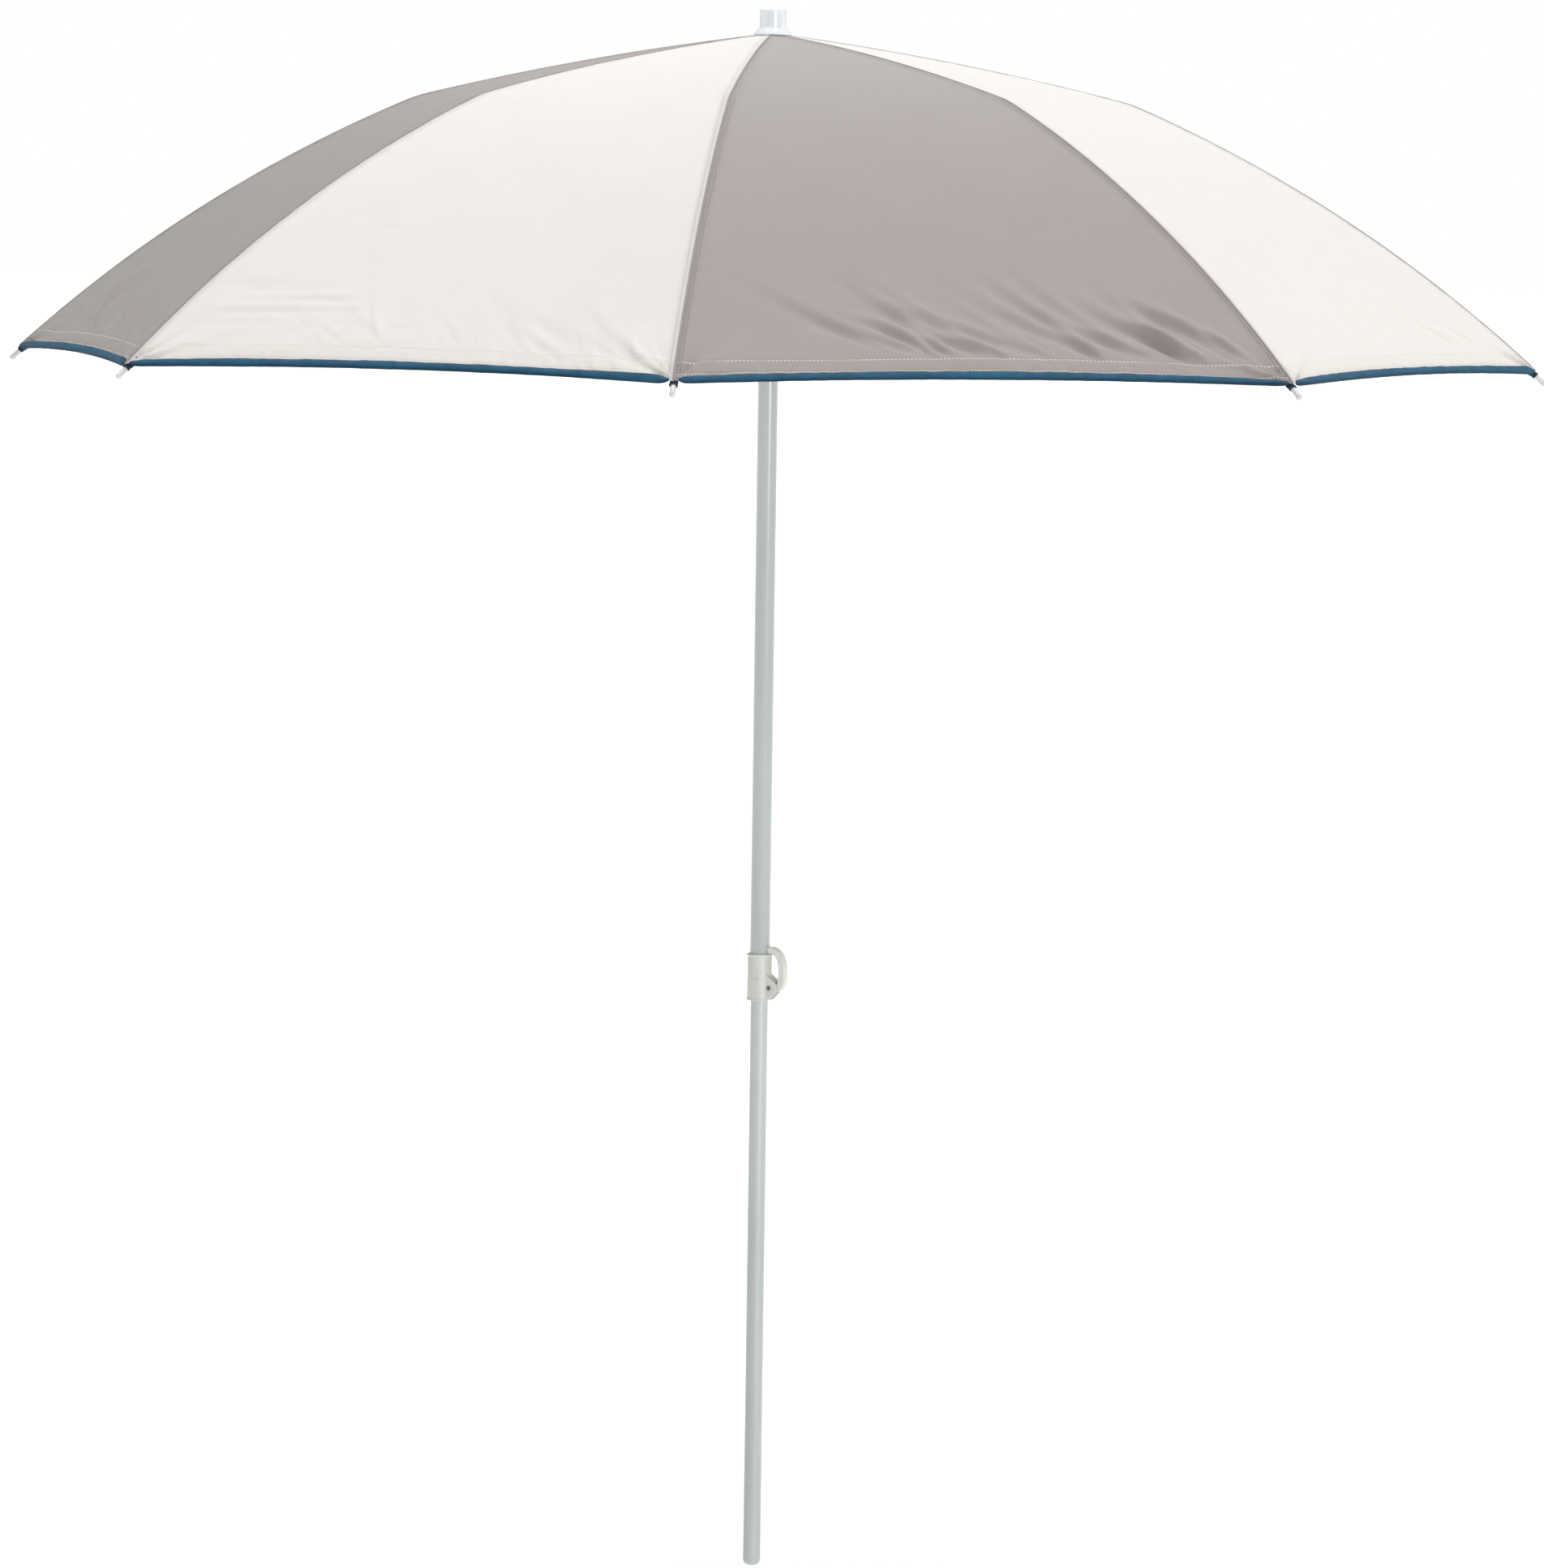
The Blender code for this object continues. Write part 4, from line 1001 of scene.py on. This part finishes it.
def solid_from(name, shapes, cutters, voxel, passes):
    """Closed shapes fused and cut, then remeshed fine and smoothed, as moulded plastic has soft edges."""
    objects = [placed(name, mesh) for mesh in (*shapes, *cutters)]
    base = objects[0]
    for index, tool in enumerate(objects[1:], 1):
        cut = base.modifiers.new("Join", "BOOLEAN")
        cut.object = tool
        cut.operation = "UNION" if index < len(shapes) else "DIFFERENCE"
    grid = base.modifiers.new("Remesh", "REMESH")
    grid.mode = "VOXEL"
    grid.voxel_size = voxel
    soften = base.modifiers.new("Soften", "SMOOTH")
    soften.factor = 0.5
    soften.iterations = passes
    bpy.context.view_layer.update()
    mesh = bpy.data.meshes.new_from_object(base.evaluated_get(bpy.context.evaluated_depsgraph_get()))
    for obj in objects:
        bpy.data.objects.remove(obj, do_unlink=True)
    mesh.shade_smooth()
    return mesh


def plate(outline, low, high):
    """A flat outline of (x, z) points, from y = low to y = high."""
    shape = bmesh.new()
    near = [shape.verts.new((x, low, z)) for x, z in outline]
    far = [shape.verts.new((x, high, z)) for x, z in outline]
    for i in range(len(outline)):
        shape.faces.new((near[i - 1], near[i], far[i], far[i - 1]))
    shape.faces.new(near)
    shape.faces.new(far)
    bmesh.ops.recalc_face_normals(shape, faces=shape.faces)
    return finished(shape, "plate")


def cross_bar(x, z, low, high, radius, sides=48):
    """A bar along Y, round or with a few sides."""
    return plate(ellipse(radius, radius, sides, (x, z)), low, high)


def pivot():
    """(x, z) of the lever's pin."""
    low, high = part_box("clamp_pin")
    return (low.x + high.x) / 2, (low.z + high.z) / 2


def clamp_sleeve():
    """The clamp's sleeve, turned, with a thin lip at each end."""
    low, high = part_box("clamp_body")
    body, lip, edge, wide_edge = CLAMP_RADIUS, -low.x, 0.0006, 0.0008
    z = pivot()[1]
    outer = [
        (0.0, high.z),
        (UPPER_RADIUS + edge, high.z),
        *rounded(lip - edge, high.z - 0.0016, edge, 4, 60.0, -60.0),
        (lip - 0.0001, high.z - 0.0022),
        (body, high.z - 0.0032),
        (body, z + 0.0102),
        (body + 0.0003, z + 0.0098),
        (body + 0.0003, low.z + 0.0032),
        (lip - 0.0001, low.z + 0.0016),
        *rounded(lip - wide_edge, low.z + wide_edge, wide_edge, 4, 0.0, -90.0),
        (0.0, low.z),
    ]
    return turned("sleeve", outer)


def clamp_ears():
    """Two ears round the pin, and the web between them."""
    x, z = pivot()
    angles = [radians(-90 + 15.5 * i) for i in range(2, 11)]
    rim = [(x + EAR_RADIUS * cos(a), z + EAR_RADIUS * sin(a)) for a in angles]
    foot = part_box("clamp_body")[0].z + 0.0012
    ear = [(CLAMP_INSIDE, foot), (x + 0.0006, foot), *rim, (CLAMP_INSIDE, z + 0.0173)]
    web = [
        (CLAMP_INSIDE, z + WINDOW_RISE),
        (x + 0.0076, z + WINDOW_RISE),
        (x + 0.0058, z + 0.0074),
        (x + 0.0038, z + 0.0085),
        (CLAMP_INSIDE, z + 0.0166),
    ]
    ears = [plate(ear, -EAR_OUTER, -EAR_INNER), plate(ear, EAR_INNER, EAR_OUTER)]
    return [*ears, plate(web, -WEB_HALF, WEB_HALF)]


def clamp_cutters():
    """The bore for both tubes, the lever's window, and the pin's hole with its recesses."""
    low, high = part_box("clamp_body")
    x, z = pivot()
    past, step = 0.001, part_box("upper_tube")[0].z - 0.0003
    wide, narrow = UPPER_RADIUS + 0.0001, LOWER_RADIUS + 0.0003
    bore = [
        (0.0, high.z + past),
        (wide, high.z + past),
        (wide, step),
        (narrow, step),
        (narrow, low.z - past),
        (0.0, low.z - past),
    ]
    floor, roof = low.z - past, z + WINDOW_RISE
    window = [(0.0, floor), (WINDOW_REACH, floor), (WINDOW_REACH, roof), (0.0, roof)]
    return [
        turned("bore", bore),
        plate(window, -EAR_INNER, EAR_INNER),
        cross_bar(x, z, -HOLE_REACH, HOLE_REACH, HOLE_RADIUS),
        cross_bar(x, z, -HOLE_REACH, -HEAD_RECESS_START, HEAD_RECESS),
        cross_bar(x, z, HEAD_RECESS_START, HOLE_REACH, HEAD_RECESS),
    ]


def add_clamp(material):
    """The clamp: a sleeve with thin lips, and two ears that hold the lever's pin."""
    shapes = [clamp_sleeve(), *clamp_ears()]
    mesh = solid_from("clamp", shapes, clamp_cutters(), CLAMP_VOXEL, CLAMP_SMOOTHING)
    make_piece("clamp_body_finish", mesh, "upper_pole", material, "clamp_body")


def lever_line():
    """The middle of the lever's arm: out under the fingers, up, and back in to touch the tube."""
    low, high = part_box("clamp_lever")
    x, z = pivot()
    foot, bow, top = z + LEVER_RISE, high.x - LEVER_HALF, high.z - LEVER_HALF
    middle = [(x, foot), (0.021, foot)]
    for i in range(9):
        angle = radians(90 * i / 8)
        reach = LEVER_BEND_START + (bow - LEVER_BEND_START) * sin(angle)
        middle.append((reach, foot + LEVER_BEND_HEIGHT * (1 - cos(angle))))
    wide, tall = LEVER_TOP_BEND
    for i in range(13):
        angle = radians(90 * i / 12)
        middle.append((bow - wide * (1 - cos(angle)), top - tall * (1 - sin(angle))))
    middle.append((low.x + 0.001, top))
    return [Vector((x, 0.0, z)) for x, z in middle]


def add_lever(material):
    """The C-shaped lever: a round hub on the pin, and an arm with rounded edges, thinner at its tip."""
    points = lever_line()
    runs = [run_at(points, index) for index in range(len(points))]
    outward = [Vector((run.z, 0.0, -run.x)) for run in runs]
    shares = [i / (len(points) - 1) for i in range(len(points))]
    sizes = [1.0 - 0.45 * max(0.0, share - 0.75) for share in shares]
    half = LEVER_HALF - LEVER_CORNER
    section = []
    for i, (x, y) in enumerate(((half, half), (-half, half), (-half, -half), (half, -half))):
        section += rounded(x, y, LEVER_CORNER, 4, 90.0 * i, 90.0)
    arm = swept("arm", points, outward, [Vector((0.0, 1.0, 0.0))] * len(points), section, sizes)
    hub = cross_bar(*pivot(), -LEVER_HALF, LEVER_HALF, LEVER_HUB)
    hole = cross_bar(*pivot(), -HOLE_REACH, HOLE_REACH, HOLE_RADIUS)
    mesh = solid_from("lever", [hub, arm], [hole], CLAMP_VOXEL, CLAMP_SMOOTHING)
    make_piece("clamp_lever_finish", mesh, "lever", material, "clamp_lever")


def add_pin(material):
    """The clamp's cross pin, with a hexagon socket sunk in each head."""
    low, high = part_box("clamp_pin")
    x, z = pivot()
    shapes = [cross_bar(x, z, low.y, high.y, PIN_RADIUS)]
    cutters = []
    for side in (-1, 1):
        near, far = sorted((side * high.y, side * (high.y - PIN_HEAD_LENGTH)))
        shapes.append(cross_bar(x, z, near + 0.0002, far, PIN_HEAD))
        near, far = sorted((side * (high.y - SOCKET_DEPTH), side * (high.y + 0.001)))
        cutters.append(cross_bar(x, z, near, far, SOCKET_RADIUS, 6))
    mesh = solid_from("pin", shapes, cutters, PIN_VOXEL, PIN_SMOOTHING)
    make_piece("clamp_pin_finish", mesh, "upper_pole", material, "clamp_pin")


def add_fittings(plastic, clamp, lever, wire, screw):
    refined("crown_hub", "upper_pole", plastic)
    refined("crown_ring", "upper_pole", wire, 0.0)
    refined("runner", "runner", plastic)
    refined("runner_ring", "runner", wire, 0.0)
    refined("runner_catch", "catch", wire, 0.0)
    add_clamp(clamp)
    add_lever(lever)
    add_pin(screw)


# ---- stage ----


def add_camera():
    level = Vector((-sin(CAMERA_HEADING), cos(CAMERA_HEADING), 0.0))
    forward = level * cos(CAMERA_PITCH) + Vector((0.0, 0.0, sin(CAMERA_PITCH)))
    right = Vector((cos(CAMERA_HEADING), sin(CAMERA_HEADING), 0.0))
    up = right.cross(forward)
    tilted = right * cos(CAMERA_ROLL) + up * sin(CAMERA_ROLL)
    up = up * cos(CAMERA_ROLL) - right * sin(CAMERA_ROLL)
    data = bpy.data.cameras.new("Camera")
    data.lens = CAMERA_LENS
    data.sensor_width = 36.0
    data.clip_end = 200.0
    camera = placed("Camera", data)
    turn = Matrix((tilted, up, -forward)).transposed().to_4x4()
    camera.matrix_world = Matrix.Translation(CAMERA_PLACE) @ turn
    bpy.context.scene.camera = camera


def add_light(name, energy, direction, spread, colour):
    """A soft light that shines on the object from a direction, over a spread in degrees."""
    data = bpy.data.lights.new(name, "SUN")
    data.energy = energy
    data.angle = radians(spread)
    data.color = colour
    light = placed(name, data)
    light.rotation_mode = "QUATERNION"
    light.rotation_quaternion = Vector(direction).to_track_quat("Z", "Y")
    return light


def add_stage():
    """A pale floor that glows a little, and the lights. The glint light is seen only in reflections."""
    shape = bmesh.new()
    bmesh.ops.create_circle(shape, cap_ends=True, segments=FLOOR_SIDES, radius=FLOOR_RADIUS)
    mesh = finished(shape, "Floor")
    graph = Graph("Pale floor")
    haze = graph.noise(graph.place(), 0.8, 3.0)
    graph.set(Base_Color=graph.mix(haze, *FLOOR_GREYS), Roughness=0.9)
    graph.set(Emission_Color=(*WHITE, 1.0), Emission_Strength=FLOOR_GLOW)
    mesh.materials.append(graph.material)
    floor = placed("Floor", mesh)
    floor.location.z = -FLOOR_DROP
    for light in LIGHTS:
        add_light(*light)
    glint = add_light(*GLINT)
    glint.visible_diffuse = False
    glint.visible_transmission = False


def add_world():
    """White behind the object, and a dimmer white that lights it."""
    world = bpy.data.worlds.new("Studio")
    world.use_nodes = True
    nodes, links = world.node_tree.nodes, world.node_tree.links
    mixed = nodes.new("ShaderNodeMixShader")
    links.new(nodes.new("ShaderNodeLightPath").outputs["Is Camera Ray"], mixed.inputs[0])
    for slot, strength in ((1, WORLD_LIGHT), (2, 1.0)):
        background = nodes.new("ShaderNodeBackground")
        background.inputs["Color"].default_value = (*WHITE, 1.0)
        background.inputs["Strength"].default_value = strength
        links.new(background.outputs[0], mixed.inputs[slot])
    links.new(mixed.outputs[0], nodes["World Output"].inputs["Surface"])
    bpy.context.scene.world = world
    bpy.context.scene.view_settings.view_transform = "Standard"


def build():
    add_camera()
    add_stage()
    add_world()
    # The colour tuple after each cloth colour is painted shade towards the hem, where the top light falls
    # off.
    cream = cloth_material("Cream cloth", CREAM, (0.89, 0.885, 0.875), 0.88, 0.93)
    taupe = cloth_material("Taupe cloth", TAUPE, (0.785, 0.77, 0.75), 1.5, 0.98)
    seam = seam_material()
    tape = binding_material()
    wire = wire_material()
    plastic = plastic_material("White plastic", WHITE_PLASTIC, 0.38)
    add_frame(wire)
    for panel in range(1, RIBS + 1):
        cloth, slot = (taupe, "taupe_cloth") if panel % 2 else (cream, "cream_cloth")
        add_panel(panel, cloth, tape)
        add_tip_loop(panel, tape)
        add_seam(panel, seam)
        add_tip_cap(panel, plastic)
    upper_paint = painted_material("Upper tube", STEEL_PAINT, 0.15)
    # Painted light: the lower tube gets the lighter paint to make up for the canopy's shadow.
    lit_lower_paint = painted_material("Lower tube", LIT_LOWER_PAINT, 0.6)
    add_tubes(upper_paint, lit_lower_paint, plastic)
    # Both cap materials get a faint painted glow along with their see-through share.
    shell = plastic_material("Cap plastic", CAP_PLASTIC, 0.18, 0.4)
    core = plastic_material("Cap core", CAP_CORE, 0.4, 0.02)
    add_cap(shell, core)
    clamp = plastic_material("Clamp plastic", CLAMP_PLASTIC, 0.36, shine=0.2)
    lever = plastic_material("Lever plastic", scaled(CLAMP_PLASTIC, 1.12), 0.3, shine=0.3)
    screw = plastic_material("Screw", SCREW, 0.35)
    add_fittings(plastic, clamp, lever, wire, screw)


build()
bpy.context.view_layer.update()
